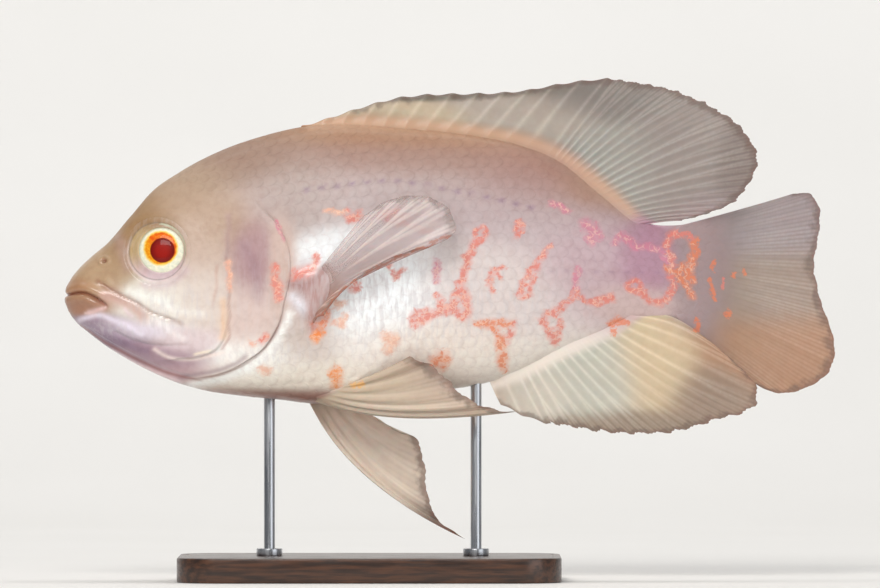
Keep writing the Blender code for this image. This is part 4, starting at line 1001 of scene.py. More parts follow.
def build_lids(side_name, side, finish):
    """The soft ring round the eye, from the eyeball out over the groove and into the cheek.

    Each place of its profile has how far out it lies, from the opening at 0 over the groove at 1,
    how much it follows the skin instead of the eyeball, and how high it stands over that.
    """
    sides = 128
    profile = (
        (-0.16, 0.0, -0.5), (-0.06, 0.0, 0.02), (0.0, 0.0, 0.16), (0.08, 0.0, 0.24), (0.22, 0.18, 0.3),
        (0.4, 0.42, 0.34), (0.6, 0.68, 0.3), (0.78, 0.88, 0.2), (0.9, 0.97, 0.04), (0.97, 1.0, -0.14),
        (1.03, 1.0, -0.18), (1.1, 1.0, -0.1), (1.2, 1.0, 0.0), (1.36, 1.0, 0.03), (1.5, 1.0, 0.03),
        (1.65, 1.0, 0.0), (1.8, 1.0, -0.08), (2.0, 1.0, -0.3),
    )
    lids, column, row = grid_sheet(f"lids_{side_name}", sides + 1, len(profile))
    turn = np.linspace(0, 2 * math.pi, sides + 1)[column]
    out, on_skin, lift = np.array(profile)[row].T
    around = np.stack([np.cos(turn), np.sin(turn)], axis=-1)
    inner, groove = (np.array(ring[:2]) + ring[2] * around for ring in (EYE_OPENING, SOCKET))
    spread = np.maximum(out - 1, 0)[:, None] * 2.6 * around
    spot = inner + (groove - inner) * np.minimum(out, 1)[:, None] + spread
    behind, height = spot[:, 0], spot[:, 1]
    surface = np.stack([behind, side * flank(behind, height), height], axis=-1)
    axis = off_flank(*EYE, side)

    size, depth, stands_out = EYEBALL
    dome = np.sqrt(np.maximum(0, 1 - (from_spot(EYE, behind, height) / size) ** 2))
    ball_height = stands_out - depth + depth * dome
    flat = np.array((EYE[0], side * float(flank(*EYE)), EYE[1]))
    flesh_height = (surface - flat) @ axis
    over_ball = ball_height - flesh_height
    rim = relief(behind, height) + socket(behind, height)
    rise = over_ball * (1 - on_skin) + lift + rim * on_skin * ease(0.7, 1.1, out)
    set_points(lids, surface + axis * rise[:, None])

    colour = skin_tone(behind, height)
    golden_front = 0.75 * ease(0.1, 1, -np.cos(turn)) * ease(1.1, 0.8, out)
    colour = laid_over(colour, srgb((206, 178, 128)), golden_front)
    pink_low = 0.75 * ease(0.1, 0.9, -np.sin(turn)) * ease(1.5, 0.9, out)
    colour = laid_over(colour, srgb((214, 186, 196)), pink_low)
    dark_line = 0.5 * bump(out - 1.0, 0.09)
    colour = laid_over(colour, srgb((112, 102, 84)), dark_line)
    paint(lids, "tone", colour)
    paint(lids, "mark", np.zeros(len(behind)))
    paint(lids, "stain", colour)
    paint(lids, "pearl", np.full(len(behind), 0.25))
    paint(lids, "wet", np.full(len(behind), 0.5))
    close_and_turn_out(lids, fill=False)
    turn_towards(lids, axis)
    shade(lids, 60)
    finish_piece(lids, finish)


def turn_towards(obj, axis):
    """Flips an open sheet whose faces look away from this direction."""
    facing = sum(polygon.normal.dot(Vector(axis)) * polygon.area for polygon in obj.data.polygons)
    if facing < 0:
        obj.data.flip_normals()


class Girth:
    """Finds the angle round the body at a distance, over the flesh, from its widest line."""

    step_back, step_round = 0.75, 0.5

    def __init__(self):
        self.behind = np.arange(18, SKIN_END + 0.6, self.step_back)
        self.distance = np.arange(-95, 95.1, self.step_round)
        widest = 180
        angles = np.linspace(0, math.pi, 2 * widest + 1)
        side, height = section(self.behind[:, None], angles[None, :])
        step = np.hypot(np.diff(side, axis=1), np.diff(height, axis=1))
        length = np.concatenate([np.zeros((len(self.behind), 1)), np.cumsum(step, axis=1)], axis=1)
        length = length - length[:, widest][:, None]
        self.to_top, self.to_bottom = -length[:, 0], length[:, -1]
        self.angle = np.array([np.interp(self.distance, row, angles) for row in length])

    def station(self, behind):
        """The nearest station in front of a place."""
        return int(np.clip((behind - self.behind[0]) / self.step_back, 0, len(self.behind) - 1))

    def at(self, behind, distance):
        """The angle there, from 0 on the back to pi under the belly."""
        i = np.clip((behind - self.behind[0]) / self.step_back, 0, len(self.behind) - 1.001)
        j = np.clip((distance - self.distance[0]) / self.step_round, 0, len(self.distance) - 1.001)
        i0, j0 = i.astype(int), j.astype(int)
        di, dj = i - i0, j - j0
        table = self.angle
        low = table[i0, j0] * (1 - dj) + table[i0, j0 + 1] * dj
        high = table[i0 + 1, j0] * (1 - dj) + table[i0 + 1, j0 + 1] * dj
        return low * (1 - di) + high * di


def smaller_at_tail(behind):
    """The size of the scales there, which is less on the tail stalk."""
    return 1 - 0.3 * float(ease(150, 195, behind))


def model_scale():
    """One scale: a round plate with a rim, a crown and a closed underside."""
    deselect()
    bpy.ops.mesh.primitive_circle_add(vertices=14, radius=1, fill_type="NGON")
    scale = bpy.context.object
    bpy.ops.object.mode_set(mode="EDIT")
    bpy.ops.mesh.select_all(action="SELECT")
    bpy.ops.mesh.extrude_region_move(TRANSFORM_OT_translate={"value": (0, 0, 1)})
    bpy.ops.mesh.inset(thickness=0.14)
    bpy.ops.mesh.inset(thickness=0.4)
    bpy.ops.mesh.select_all(action="DESELECT")
    bpy.ops.mesh.select_mode(type="EDGE")
    bpy.ops.mesh.select_non_manifold()
    bpy.ops.mesh.edge_face_add()
    bpy.ops.mesh.select_all(action="SELECT")
    bpy.ops.mesh.normals_make_consistent(inside=False)
    bpy.ops.object.mode_set(mode="OBJECT")
    points = np.array([v.co for v in scale.data.vertices])
    faces = [tuple(p.vertices) for p in scale.data.polygons]
    bpy.data.objects.remove(scale, do_unlink=True)
    return points, faces


def scale_places(girth, rng):
    """Where scales grow: (behind, distance round the body, length, width, rise) of each."""
    places = []
    for row in range(TOP_ROW, BOTTOM_ROW + 1):
        behind = SCALES_FROM + (row % 2) * SCALE_PITCH / 2
        while behind < SKIN_END - 1:
            size = smaller_at_tail(behind) - 0.15 * float(ease(75, 40, behind))
            distance = row * SCALE_ROW * smaller_at_tail(behind)
            i = girth.station(behind)
            if -girth.to_top[i] + 1.2 < distance < girth.to_bottom[i] - 0.6:
                angle = float(girth.at(np.array([behind]), np.array([distance]))[0])
                _, height = section(behind, angle)
                grown = scale_growth(behind, float(height))
                if grown > 0:
                    jitter = rng.normal(0, 0.04, 4)
                    near_edge = min(distance + girth.to_top[i], girth.to_bottom[i] - distance)
                    small = 0.72 + 0.28 * float(ease(1, 8, near_edge))
                    grown *= 0.25 + 0.75 * float(ease(1, 10, near_edge))
                    places.append((
                        behind + jitter[0] * 2,
                        distance + jitter[1] * 2,
                        0.80 * SCALE_PITCH * size * small * (1 + jitter[2]),
                        0.60 * SCALE_ROW * size * (1 + jitter[3]),
                        grown,
                    ))
            behind += SCALE_PITCH * size
    return places


def scale_growth(behind, height):
    """How far scales stand up there, or 0 where the skin is bare."""
    off, _ = to_line(GILL_LINE, np.array([behind]), np.array([height]))
    off = float(off[0])
    if height >= NAPE_LEVEL and behind < NAPE_END:
        return 0.5 * float(ease(34, 52, behind))
    # The scales end in an arc over the root of the tail fin
    stalk_middle, arc_reach = 8.7, 6.5
    end = SKIN_END - 1.5 - ((height - stalk_middle) / arc_reach) ** 2
    if off < 1.7 or float(fin_pad(behind, height)) > 0.12 or behind > end:
        return 0.0
    lower_behind = 1.0 - 0.5 * float(ease(150, 200, behind))
    lower_on_back = 1.0 - 0.5 * float(ease(16, 40, height))
    off_slit = 0.3 + 0.7 * float(ease(1.5, 9, off))
    return lower_behind * lower_on_back * off_slit * float(ease(end, end - 9, behind))


def build_scales(side_name, side, finish, girth):
    """Rows of overlapping scales over one side of the body, joined in one mesh."""
    front, off_slit, thickness = 20, 0.9, 0.4
    rng = np.random.default_rng(SEED)
    template, faces = model_scale()
    places = scale_places(girth, rng)
    count, size = len(places), len(template)
    behind, distance, long, wide, grown = (np.array(column)[:, None] for column in zip(*places))
    back, round_body, upper = template[:, 0][None], template[:, 1][None], template[:, 2][None]
    reach = np.hypot(template[:, 0], template[:, 1])[None]
    b = np.clip(behind + back * long, front, SKIN_END + 1.5)
    angle = girth.at(b, distance + round_body * wide)
    _, height = section(b, angle)
    edge = np.interp(height, GILL_LINE[::-1, 1], GILL_LINE[::-1, 0]) + off_slit
    b = np.where(height < SLIT_TOP, np.maximum(b, edge), b)
    lift = (-0.2 + 0.17 * (back + 1) + 0.07 * (1 - reach**2)) * (0.2 + 0.8 * grown)
    lift = np.where(upper > 0.5, lift, lift - thickness)
    points = skin_points(b, angle if side > 0 else -angle, lift)

    mesh = bpy.data.meshes.new(f"scales_{side_name}")
    everything = []
    for k in range(count):
        for face in faces:
            everything.append(tuple(index + k * size for index in (face if side > 0 else face[::-1])))
    mesh.from_pydata(place(points.reshape(-1, 3)).tolist(), [], everything)
    scales = bpy.data.objects.new(f"scales_{side_name}", mesh)
    bpy.context.scene.collection.objects.link(scales)

    paint_skin(scales, points[..., 0].ravel(), points[..., 2].ravel())
    paint(scales, "rim", np.broadcast_to(reach * (upper > 0.5) + (upper < 0.5), (count, size)).ravel())
    paint(scales, "own", np.broadcast_to(rng.uniform(0, 1, (count, 1)), (count, size)).ravel())
    map_roots(scales, template, behind.ravel(), distance.ravel())
    close_and_turn_out(scales)
    shade(scales, 40)
    finish_piece(scales, finish)


def map_roots(scales, template, behind, distance):
    """A map that gives each scale a small patch at its root's place on the unrolled skin."""
    patch, front, reach_round = 0.003, 30, 90
    layer = scales.data.uv_layers.new(name="OFBake")
    corner = np.zeros(len(scales.data.loops), int)
    scales.data.loops.foreach_get("vertex_index", corner)
    size = len(template)
    one, part = corner // size, corner % size
    under = template[part, 2] < 0.5
    across = template[part, 0] * patch / 2
    up = template[part, 1] * patch / 2 + np.where(under, patch * 1.1, 0)
    place_u = 0.02 + 0.96 * (behind[one] - front) / (SKIN_END - front) + across
    place_v = 0.5 + 0.48 * distance[one] / reach_round + up
    layer.data.foreach_set("uv", np.column_stack([place_u, place_v]).ravel().astype(np.float32))
    scales.data.uv_layers.active = layer


class Fan:
    """The rays of a fin: where each starts, how it bends and where it ends."""

    def __init__(self, roots, bends, tips):
        self.roots, self.bends, self.tips = (np.array(p, float) for p in (roots, bends, tips))

    def at(self, lane, t):
        """Points of the fin at this ray, whole or in between, and this share of its length."""
        order = np.arange(len(self.roots))
        line = []
        for points in (self.roots, self.bends, self.tips):
            curve = [smooth(np.column_stack([order, points[:, k]]))(lane) for k in range(3)]
            line.append(np.stack(curve, axis=-1))
        root, bend, tip = line
        t = t[..., None]
        return root * (1 - t) ** 2 + bend * 2 * t * (1 - t) + tip * t**2


def midline_fan(edge, spans, margin, lift, rear_rise=0.0):
    """Rays of the dorsal or anal fin, whose roots follow the edge of the body."""
    roots, tips = [], []
    for count, start, end, from_share, to_share in spans:
        shares = np.linspace(from_share, to_share, count)
        for behind, share in zip(np.linspace(start, end, count), shares):
            roots.append((behind, float(midline(behind)), float(edge(behind)) - lift * SUNK))
            tip_behind, tip_height = along(margin, share)
            tips.append((tip_behind, float(midline(behind)) - FIN_LEAN * (tip_behind - behind), tip_height))
    roots, tips = np.array(roots), np.array(tips)
    bends = roots * 0.5 + tips * 0.5
    bends[:, 2] += lift * 0.06 * np.linalg.norm(tips - roots, axis=1)
    bends[:, 2] += rear_rise * ease(0.75, 1, np.linspace(0, 1, len(roots)))
    return Fan(roots, bends, tips)


def tail_fan():
    """Rays of the tail fin, which spread from the end of the stalk."""
    share = np.linspace(0, 1, TAIL_RAYS)
    end, inset = PEDUNCLE_END, 1.0
    heights = np.linspace(float(top(end)) - inset, float(bottom(end)) + inset, TAIL_RAYS)
    roots = np.array([(end - SUNK, float(midline(end)), h) for h in heights])
    tips = []
    for part in share:
        behind, height = along(TAIL_MARGIN, part)
        tips.append((behind, float(midline(behind)) - 1.2 * math.cos(2 * math.pi * part), height))
    tips = np.array(tips)
    bends = roots * 0.55 + tips * 0.45
    bends[:, 2] += 0.12 * (roots[:, 2] - bends[:, 2])
    bends[:, 2] -= 4.0 * ease(0.85, 1, share)
    return Fan(roots, bends, tips)


def paired_fan(side, root_line, margin, rays, stand_off, bows):
    """Rays of a pectoral or pelvic fin, which leave the flank squarely and turn back."""
    roots, bends, tips = [], [], []
    for share in np.linspace(0, 1, rays):
        behind, height = along(root_line, share)
        out = float(flank(behind, height))
        tip_behind, tip_height = along(margin, share)
        normal = off_flank(behind, height, side)
        root = np.array((behind, side * out, height)) - SUNK * normal
        tip = np.array((tip_behind, side * stand_off(tip_behind, tip_height, share), tip_height))
        bend = root + normal * 4 + (tip - root) * np.array((0.35, 0.2, 0.4))
        bow = (1 - share) * np.array(bows[0]) + share * np.array(bows[1])
        bend += np.array((bow[0], 0, bow[1]))
        roots.append(root)
        bends.append(bend)
        tips.append(tip)
    return Fan(roots, bends, tips)


def ray_relief(lane, t, branch_at, split_by, spines):
    """How far a ray stands out at each place: one ridge that splits in two and then in four."""
    off = lane - np.rint(lane)
    split = 0.25 * ease(branch_at, split_by, t)
    fork = 0.125 * ease(branch_at + 0.25, split_by + 0.1, t)
    width = 0.2 - 0.1 * t
    ridge = np.zeros(np.shape(off))
    for across in (-split - fork, -split + fork, split - fork, split + fork):
        ridge = np.maximum(ridge, bump(off - across, width))
    spine = bump(off, 0.16 - 0.07 * t)
    return np.where(np.rint(lane) < spines, spine, ridge)


def build_fin(name, fan, replaced, finish, columns, rows, thick, root_reach, notch, pleat, spines=0,
              wave=0.6, branch_at=0.35, split_by=0.95, ridge_height=0.14, rays_from=0.0, marks=None,
              scaly=False, flesh_reach=5.0, clear_rays=0.0):
    """A fin in one closed sheet, its rays ridged on both faces and its edge cut in between them.

    It has this many columns of points from ray to ray, and rows from root to edge. It is thick at
    its root and thins out over root_reach to the web, and flesh covers it over flesh_reach.
    """
    rng = np.random.default_rng(SEED + len(name))
    lanes = len(fan.roots) - 1
    fin, column, row = grid_sheet(name, lanes * columns + 1, rows)
    lane = column / columns
    t = (row / (rows - 1)) ** 0.9
    strengths = np.interp(3 * lane, np.arange(3 * lanes + 1), rng.uniform(0.3, 1.0, 3 * lanes + 1))
    ridge = ray_relief(lane, t, branch_at, split_by, spines)
    ridge = ridge * np.where(np.rint(lane) < spines, 0.8, 1 + (strengths - 1) * ease(0.1, 0.6, t))
    ends = np.linspace(0, lanes, lanes * columns + 1)
    length = np.linalg.norm(fan.at(ends, np.ones(len(ends))) - fan.at(ends, np.zeros(len(ends))), axis=-1)
    length = length[column]

    tear = np.convolve(rng.uniform(0, 1, len(ends) + 8), np.ones(3) / 3, mode="same")[4:-4][column]
    ray_ends = np.interp(lane, np.arange(lanes + 1), rng.uniform(0, 1, lanes + 1))
    between = np.sin(math.pi * np.abs(lane - np.rint(lane)))
    cut = notch * (0.55 * between + 0.8 * (1 - ridge) * tear + 0.5 * ray_ends)
    cut = np.where(np.rint(lane) < spines, 0.9 * between**1.5 + 0.2 * ray_ends, cut)
    t_used = t * (1 - cut / np.maximum(length, 1))
    points = fan.at(lane, t_used)
    grid = np.zeros((lanes * columns + 1, rows, 3))
    grid[column, row] = points
    normal = unit(np.cross(np.gradient(grid, axis=0), np.gradient(grid, axis=1)))
    normal = unit(normal + 0.6 * unit(normal.mean(axis=(0, 1))))[column, row]
    shown = ease(rays_from, rays_from + 0.35, t) if rays_from else ease(0.0, 0.1, t)
    fold = pleat * np.cos(2 * math.pi * lane) * shown
    sway = wave * t**2 * np.sin(2 * math.pi * (1.3 * lane / lanes + 0.4 * t))
    points = points + normal * (fold + sway)[:, None]

    from_root = t * length
    full = thick / 2 if scaly else thick / 2 * (0.3 + 0.7 * ease(0, 1.3, np.minimum(lane, lanes - lane)))
    membrane = WEB_HALF + (full - WEB_HALF) * np.exp(-((from_root / root_reach) ** 1.3))
    half = membrane + ridge_height * (1 - 0.6 * t) * ridge * shown
    half = half * (0.35 + 0.65 * ease(1.0, 0.95, t))
    if scaly:
        fade = ease(24, 8, from_root)
        cover = scale_cover(points[:, 0], points[:, 2], TAIL_SCALE_PITCH, TAIL_SCALE_ROW)
        half = half + 0.5 * fade * (cover - 0.3)
        in_stalk = flank(points[:, 0], points[:, 2]) - 0.25 + 0.7 * np.maximum(points[:, 0] - PEDUNCLE_END, 0)
        half = np.minimum(half, np.maximum(in_stalk, 0.12))

    set_points(fin, points + normal * half[:, None])
    choose(fin)
    bpy.ops.object.duplicate()
    other = bpy.context.object
    set_points(other, points - normal * half[:, None])
    other.data.flip_normals()
    for face in (fin, other):
        behind, height = points[:, 0], points[:, 2]
        colour = tones(FIN_TONES, behind, height)
        body = skin_tone(behind, height)
        flesh_part = ease(flesh_reach, 0.35 * flesh_reach, from_root)
        paint(face, "tone", laid_over(colour, body, flesh_part))
        paint(face, "flesh", ease(0.9 * flesh_reach, 0.3 * flesh_reach, from_root))
        depth, stain = markings(marks or MARKS, behind, height)
        paint(face, "mark", depth)
        paint(face, "stain", stain)
        paint(face, "ray", ridge * shown)
        paint(face, "from_root", from_root)
        paint(face, "to_edge", (1 - t) * length + 3 * ease(10, 4, length))
        paint(face, "clear", clear_rays * ease(0.75, 0.15, lane / lanes))
    join_faces(fin, other, column, row, lanes * columns, rows - 1)
    shade(fin, 70)
    finish_piece(fin, finish, replaced)


def join_faces(fin, other, column, row, last_column, last_row):
    """Joins the two faces of a fin and closes the rim between them with a strip of quads."""
    rim = [(c, 0) for c in range(last_column)] + [(last_column, r) for r in range(last_row)]
    rim += [(c, last_row) for c in range(last_column, 0, -1)] + [(0, r) for r in range(last_row, 0, -1)]
    index = np.zeros((last_column + 1, last_row + 1), int)
    index[column, row] = np.arange(len(column))
    count = len(column)
    choose(fin)
    other.select_set(True)
    bpy.ops.object.join()
    bm = bmesh.new()
    bm.from_mesh(fin.data)
    bm.verts.ensure_lookup_table()
    for (c0, r0), (c1, r1) in zip(rim, rim[1:] + rim[:1]):
        a, b = index[c0, r0], index[c1, r1]
        bm.faces.new((bm.verts[b], bm.verts[a], bm.verts[a + count], bm.verts[b + count]))
    bmesh.ops.recalc_face_normals(bm, faces=bm.faces)
    bm.to_mesh(fin.data)
    bm.free()


def build_fins(membrane, clear_membrane):
    """All seven fins, each in the place of its solid."""
    dorsal = midline_fan(top, DORSAL_ROOTS, DORSAL_MARGIN, 1)
    build_fin(
        "fin_dorsal", dorsal, ("dorsal_fin",), membrane, 14, 42,
        spines=13, thick=3.8, root_reach=3.2, notch=1.4, pleat=0.07, ridge_height=0.12, flesh_reach=7.5,
    )
    anal = midline_fan(bottom, ANAL_ROOTS, ANAL_MARGIN, -1, rear_rise=11.0)
    build_fin(
        "fin_anal", anal, ("anal_fin",), membrane, 14, 42,
        spines=3, thick=3.8, root_reach=3.2, notch=2.2, pleat=0.07, ridge_height=0.12, flesh_reach=6.0,
    )
    build_fin(
        "fin_tail", tail_fan(), ("tail_fin",), membrane, 16, 100, thick=3.9, root_reach=13.5, notch=0.6,
        wave=1.0, pleat=0.04, branch_at=0.05, split_by=0.6, ridge_height=0.1, rays_from=0.36, scaly=True,
        flesh_reach=28,
    )

    # How far to the side the tip of a ray stands, by its place and its share of the fin
    def pectoral_tip(behind, height, share):
        return float(flank(behind, height)) + 5 + 7 * math.sin(math.pi * share)

    def folded_tip(behind, height, share):
        return 13.0 + 7.0 * share

    def hanging_tip(behind, height, share):
        return 12.0 - 2.0 * share

    for side_name, side in SIDES.items():
        fan = paired_fan(side, PECTORAL_ROOT, PECTORAL_MARGIN, PECTORAL_RAYS, pectoral_tip, PECTORAL_BOWS)
        build_fin(
            f"fin_pectoral_{side_name}", fan, (f"pectoral_fin_{side_name}",), clear_membrane, 12, 48,
            thick=2.6, root_reach=4.5, notch=0.6, pleat=0.1, branch_at=0.45, rays_from=0.14,
            marks=PECTORAL_MARKS, flesh_reach=3.0, clear_rays=0.6,
        )
    pelvics = {
        "left": (PELVIC_FOLDED_MARGIN, folded_tip, PELVIC_FOLDED_BOWS),
        "right": (PELVIC_HANGING_MARGIN, hanging_tip, PELVIC_HANGING_BOWS),
    }
    for side_name, (margin, stand_off, bows) in pelvics.items():
        fan = paired_fan(SIDES[side_name], PELVIC_ROOT, margin, PELVIC_RAYS, stand_off, bows)
        build_fin(
            f"fin_pelvic_{side_name}", fan, (f"pelvic_fin_{side_name}",), membrane, 24, 60,
            thick=2.4, root_reach=4.0, notch=0.9, pleat=0.3, branch_at=0.1, rays_from=0.03,
        )


def soften(obj, width, angle):
    """Rounds the edges sharper than this angle over a width in millimetres."""
    choose(obj)
    edge = obj.modifiers.new("soften", "BEVEL")
    edge.width = width * MM
    edge.segments = 3
    edge.limit_method = "ANGLE"
    edge.angle_limit = math.radians(angle)
    bpy.ops.object.modifier_apply(modifier=edge.name)


def build_base(finish):
    """A flat plinth with round corners, a groove routed round its top and a softened edge."""
    deselect()
    size = np.array((BASE_LENGTH, BASE_WIDTH, BASE_THICKNESS)) * MM
    bpy.ops.mesh.primitive_cube_add(size=1, location=(0, 0, size[2] / 2), scale=tuple(size))
    base = bpy.context.object
    base.name = "plinth"
    bpy.ops.object.transform_apply(location=True, rotation=True, scale=True)
    bm = bmesh.new()
    bm.from_mesh(base.data)
    upright = [e for e in bm.edges if abs(e.verts[0].co.z - e.verts[1].co.z) > size[2] / 2]
    bmesh.ops.bevel(bm, geom=upright, offset=BASE_CORNER * MM, segments=16, profile=0.5, affect="EDGES")
    bm.to_mesh(base.data)
    bm.free()
    choose(base)
    bpy.ops.object.mode_set(mode="EDIT")
    bpy.ops.mesh.select_mode(type="FACE")
    bpy.ops.mesh.select_all(action="DESELECT")
    bpy.ops.object.mode_set(mode="OBJECT")
    for polygon in base.data.polygons:
        polygon.select = polygon.normal.z > 0.9
    bpy.ops.object.mode_set(mode="EDIT")
    border, outer_wall, inner_wall, groove_depth = 1.0, 1.2, 0.9, 0.5
    bpy.ops.mesh.inset(thickness=border * MM)
    bpy.ops.mesh.inset(thickness=outer_wall * MM)
    bpy.ops.transform.translate(value=(0, 0, -groove_depth * MM))
    bpy.ops.mesh.inset(thickness=inner_wall * MM)
    bpy.ops.transform.translate(value=(0, 0, groove_depth * MM))
    bpy.ops.object.mode_set(mode="OBJECT")
    soften(base, 0.5, 20)
    shade(base, 30)
    finish_piece(base, finish, ("stand_base",))


def build_rod(name, behind, finish, replaced):
    """An upright rod on a turned collar, its top cut to the belly that it holds."""
    deselect()
    x = (behind - SNOUT_AHEAD) * MM
    foot = BASE_THICKNESS * MM
    bpy.ops.mesh.primitive_cylinder_add(
        vertices=48, radius=COLLAR_RADIUS * MM, depth=COLLAR_HEIGHT * MM,
        location=(x, 0, foot + COLLAR_HEIGHT * MM / 2),
    )
    rod = bpy.context.object
    rod.name = name
    bpy.ops.object.transform_apply(location=True, rotation=True, scale=True)
    for polygon in rod.data.polygons:
        polygon.select = polygon.normal.z > 0.9
    bpy.ops.object.mode_set(mode="EDIT")
    bpy.ops.mesh.select_mode(type="FACE")
    border, slope, slope_drop, top_ring = 0.5, 1.4, 0.3, 0.6
    bpy.ops.mesh.inset(thickness=border * MM)
    bpy.ops.mesh.inset(thickness=slope * MM)
    bpy.ops.transform.translate(value=(0, 0, -slope_drop * MM))
    bpy.ops.mesh.inset(thickness=border * MM)
    bpy.ops.mesh.extrude_region_move(TRANSFORM_OT_translate={"value": (0, 0, ROUGH_LENGTH * MM)})
    bpy.ops.mesh.inset(thickness=top_ring * MM)
    bpy.ops.mesh.inset(thickness=top_ring * MM)
    bpy.ops.object.mode_set(mode="OBJECT")
    for vertex in rod.data.vertices:
        if vertex.co.z > foot + ROUGH_LENGTH * MM / 2:
            side, spot = vertex.co.y / MM, vertex.co.x / MM + SNOUT_AHEAD
            vertex.co.z = (belly(spot, side) + MOUTH_LEVEL + ROD_BITE) * MM
    soften(rod, 0.25, 50)
    shade(rod, 35)
    finish_piece(rod, finish, replaced)


def belly(behind, side):
    """Height of the underside of the body, at this distance from the backbone."""
    level = widest_level(behind)
    fullness = belly_fullness(behind)
    share = min(1.0, abs(side - float(midline(behind))) / float(half_width(behind)))
    return float(level - (level - bottom(behind)) * (1 - share**fullness) ** (1 / fullness))


class Shader:
    """A Principled material and short ways to feed it."""

    def __init__(self, name):
        self.material = bpy.data.materials.new(name)
        self.material.use_nodes = True
        self.tree = self.material.node_tree
        self.surface = self.tree.nodes["Principled BSDF"]

    def set(self, **values):
        """Sets inputs of the surface by name, with an underscore for each space."""
        for name, value in values.items():
            self.surface.inputs[name.replace("_", " ")].default_value = value

    def feed(self, socket, output):
        """Links an output to an input of the surface."""
        self.tree.links.new(output, self.surface.inputs[socket])

    def attribute(self, name, colour=False):
        """A number or a colour that is stored in the mesh."""
        node = self.tree.nodes.new("ShaderNodeAttribute")
        node.attribute_name = name
        return node.outputs["Color" if colour else "Fac"]

    def place(self, scale):
        """The place on the object, stretched by this scale."""
        coordinates = self.tree.nodes.new("ShaderNodeTexCoord")
        mapping = self.tree.nodes.new("ShaderNodeMapping")
        mapping.inputs["Scale"].default_value = scale
        self.tree.links.new(coordinates.outputs["Object"], mapping.inputs["Vector"])
        return mapping.outputs["Vector"]

    def noise(self, scale, detail, stretch=(1, 1, 1), roughness=0.55):
        """Noise with its middle near 0.5. A larger scale makes it finer."""
        node = self.tree.nodes.new("ShaderNodeTexNoise")
        node.inputs["Scale"].default_value = scale
        node.inputs["Detail"].default_value = detail
        node.inputs["Roughness"].default_value = roughness
        self.tree.links.new(self.place(stretch), node.inputs["Vector"])
        return node.outputs["Fac"]

    def math(self, operation, first, second=0.0):
        """One step of arithmetic on two values, each a number or an output."""
        node = self.tree.nodes.new("ShaderNodeMath")
        node.operation = operation
        for socket, value in zip(node.inputs, (first, second)):
            if isinstance(value, (int, float)):
                socket.default_value = value
            else:
                self.tree.links.new(value, socket)
        return node.outputs[0]

    def range(self, value, low, high, new_low=0.0, new_high=1.0, smooth_step=True):
        """The value brought from one range to another, and held at its ends."""
        node = self.tree.nodes.new("ShaderNodeMapRange")
        node.interpolation_type = "SMOOTHSTEP" if smooth_step else "LINEAR"
        self.tree.links.new(value, node.inputs["Value"])
        ends = {"From Min": low, "From Max": high, "To Min": new_low, "To Max": new_high}
        for name, number in ends.items():
            node.inputs[name].default_value = number
        return node.outputs["Result"]

    def mix(self, factor, first, second, blend="MIX"):
        """The first colour with this share of the second one over it."""
        node = self.tree.nodes.new("ShaderNodeMix")
        node.data_type = "RGBA"
        node.blend_type = blend
        for name, value in (("Factor_Float", factor), ("A_Color", first), ("B_Color", second)):
            socket = next(s for s in node.inputs if s.identifier == name)
            if isinstance(value, (int, float)):
                socket.default_value = value
            elif isinstance(value, tuple):
                socket.default_value = (*srgb(value), 1.0)
            else:
                self.tree.links.new(value, socket)
        return next(s for s in node.outputs if s.identifier == "Result_Color")

    def bump(self, height, strength, distance):
        """Lets the light fall as if the surface rose by this height."""
        node = self.tree.nodes.new("ShaderNodeBump")
        node.inputs["Strength"].default_value = strength
        node.inputs["Distance"].default_value = distance
        self.tree.links.new(height, node.inputs["Height"])
        self.feed("Normal", node.outputs["Normal"])


def fish_colour(shader, rim=None):
    """The body's colour: its tones, fine mottling, streaks down the flank and the markings."""
    colour = shader.attribute("tone", colour=True)
    mottle = shader.noise(420, 4)
    colour = shader.mix(shader.range(mottle, 0.35, 0.75, 0.0, 0.18), colour, (186, 150, 140), "MULTIPLY")
    streaks = shader.noise(330, 2, stretch=(2.6, 2.6, 0.5))
    silver = shader.attribute("pearl")
    streak_part = shader.math("MULTIPLY", shader.range(streaks, 0.42, 0.62, 0.0, 0.5), silver)
    colour = shader.mix(streak_part, colour, (206, 198, 200))
    # The rims of the scales are darker and warmer, partly the thin scale's own colour and partly painted
    # shade at its edge.
    if rim is not None:
        colour = shader.mix(shader.range(rim, 0.7, 1.0, 0.0, 0.1), colour, (190, 156, 152), "MULTIPLY")
    speckle = shader.noise(760, 5, roughness=0.72)
    depth = shader.attribute("mark")
    mark = shader.math("ADD", depth, shader.range(speckle, 0.32, 0.68, -0.42, 0.34, smooth_step=False))
    if rim is not None:
        mark = shader.math("ADD", mark, shader.range(rim, 0.3, 1.0, -0.12, 0.14))
    stain = shader.attribute("stain", colour=True)
    halo = shader.range(depth, 0.1, 0.7, 0.0, 0.36)
    colour = shader.mix(halo, colour, stain)
    wisps = shader.math("ABSOLUTE", shader.math("SUBTRACT", shader.noise(380, 2), 0.5))
    net = shader.mix(shader.range(wisps, 0.06, 0.0, 0.0, 0.55), stain, (250, 214, 186))
    stained = shader.range(mark, 0.32, 0.95, 0.0, 0.76)
    return shader.mix(stained, colour, net)


def skin_finish():
    """Smooth wet skin."""
    shader = Shader("wet skin")
    shader.feed("Base Color", fish_colour(shader))
    wet = shader.attribute("wet")
    shader.feed("Roughness", shader.range(wet, 0, 1, 0.6, 0.36))
    shader.feed("Coat Weight", shader.math("MULTIPLY", wet, 0.45))
    shader.set(Subsurface_Weight=0.12, Subsurface_Scale=0.002, Coat_Roughness=0.14)
    shader.set(Subsurface_Radius=(1.0, 0.4, 0.3), Specular_IOR_Level=0.45)
    shader.bump(shader.noise(1100, 4), 0.12, 0.0004)
    return shader.material


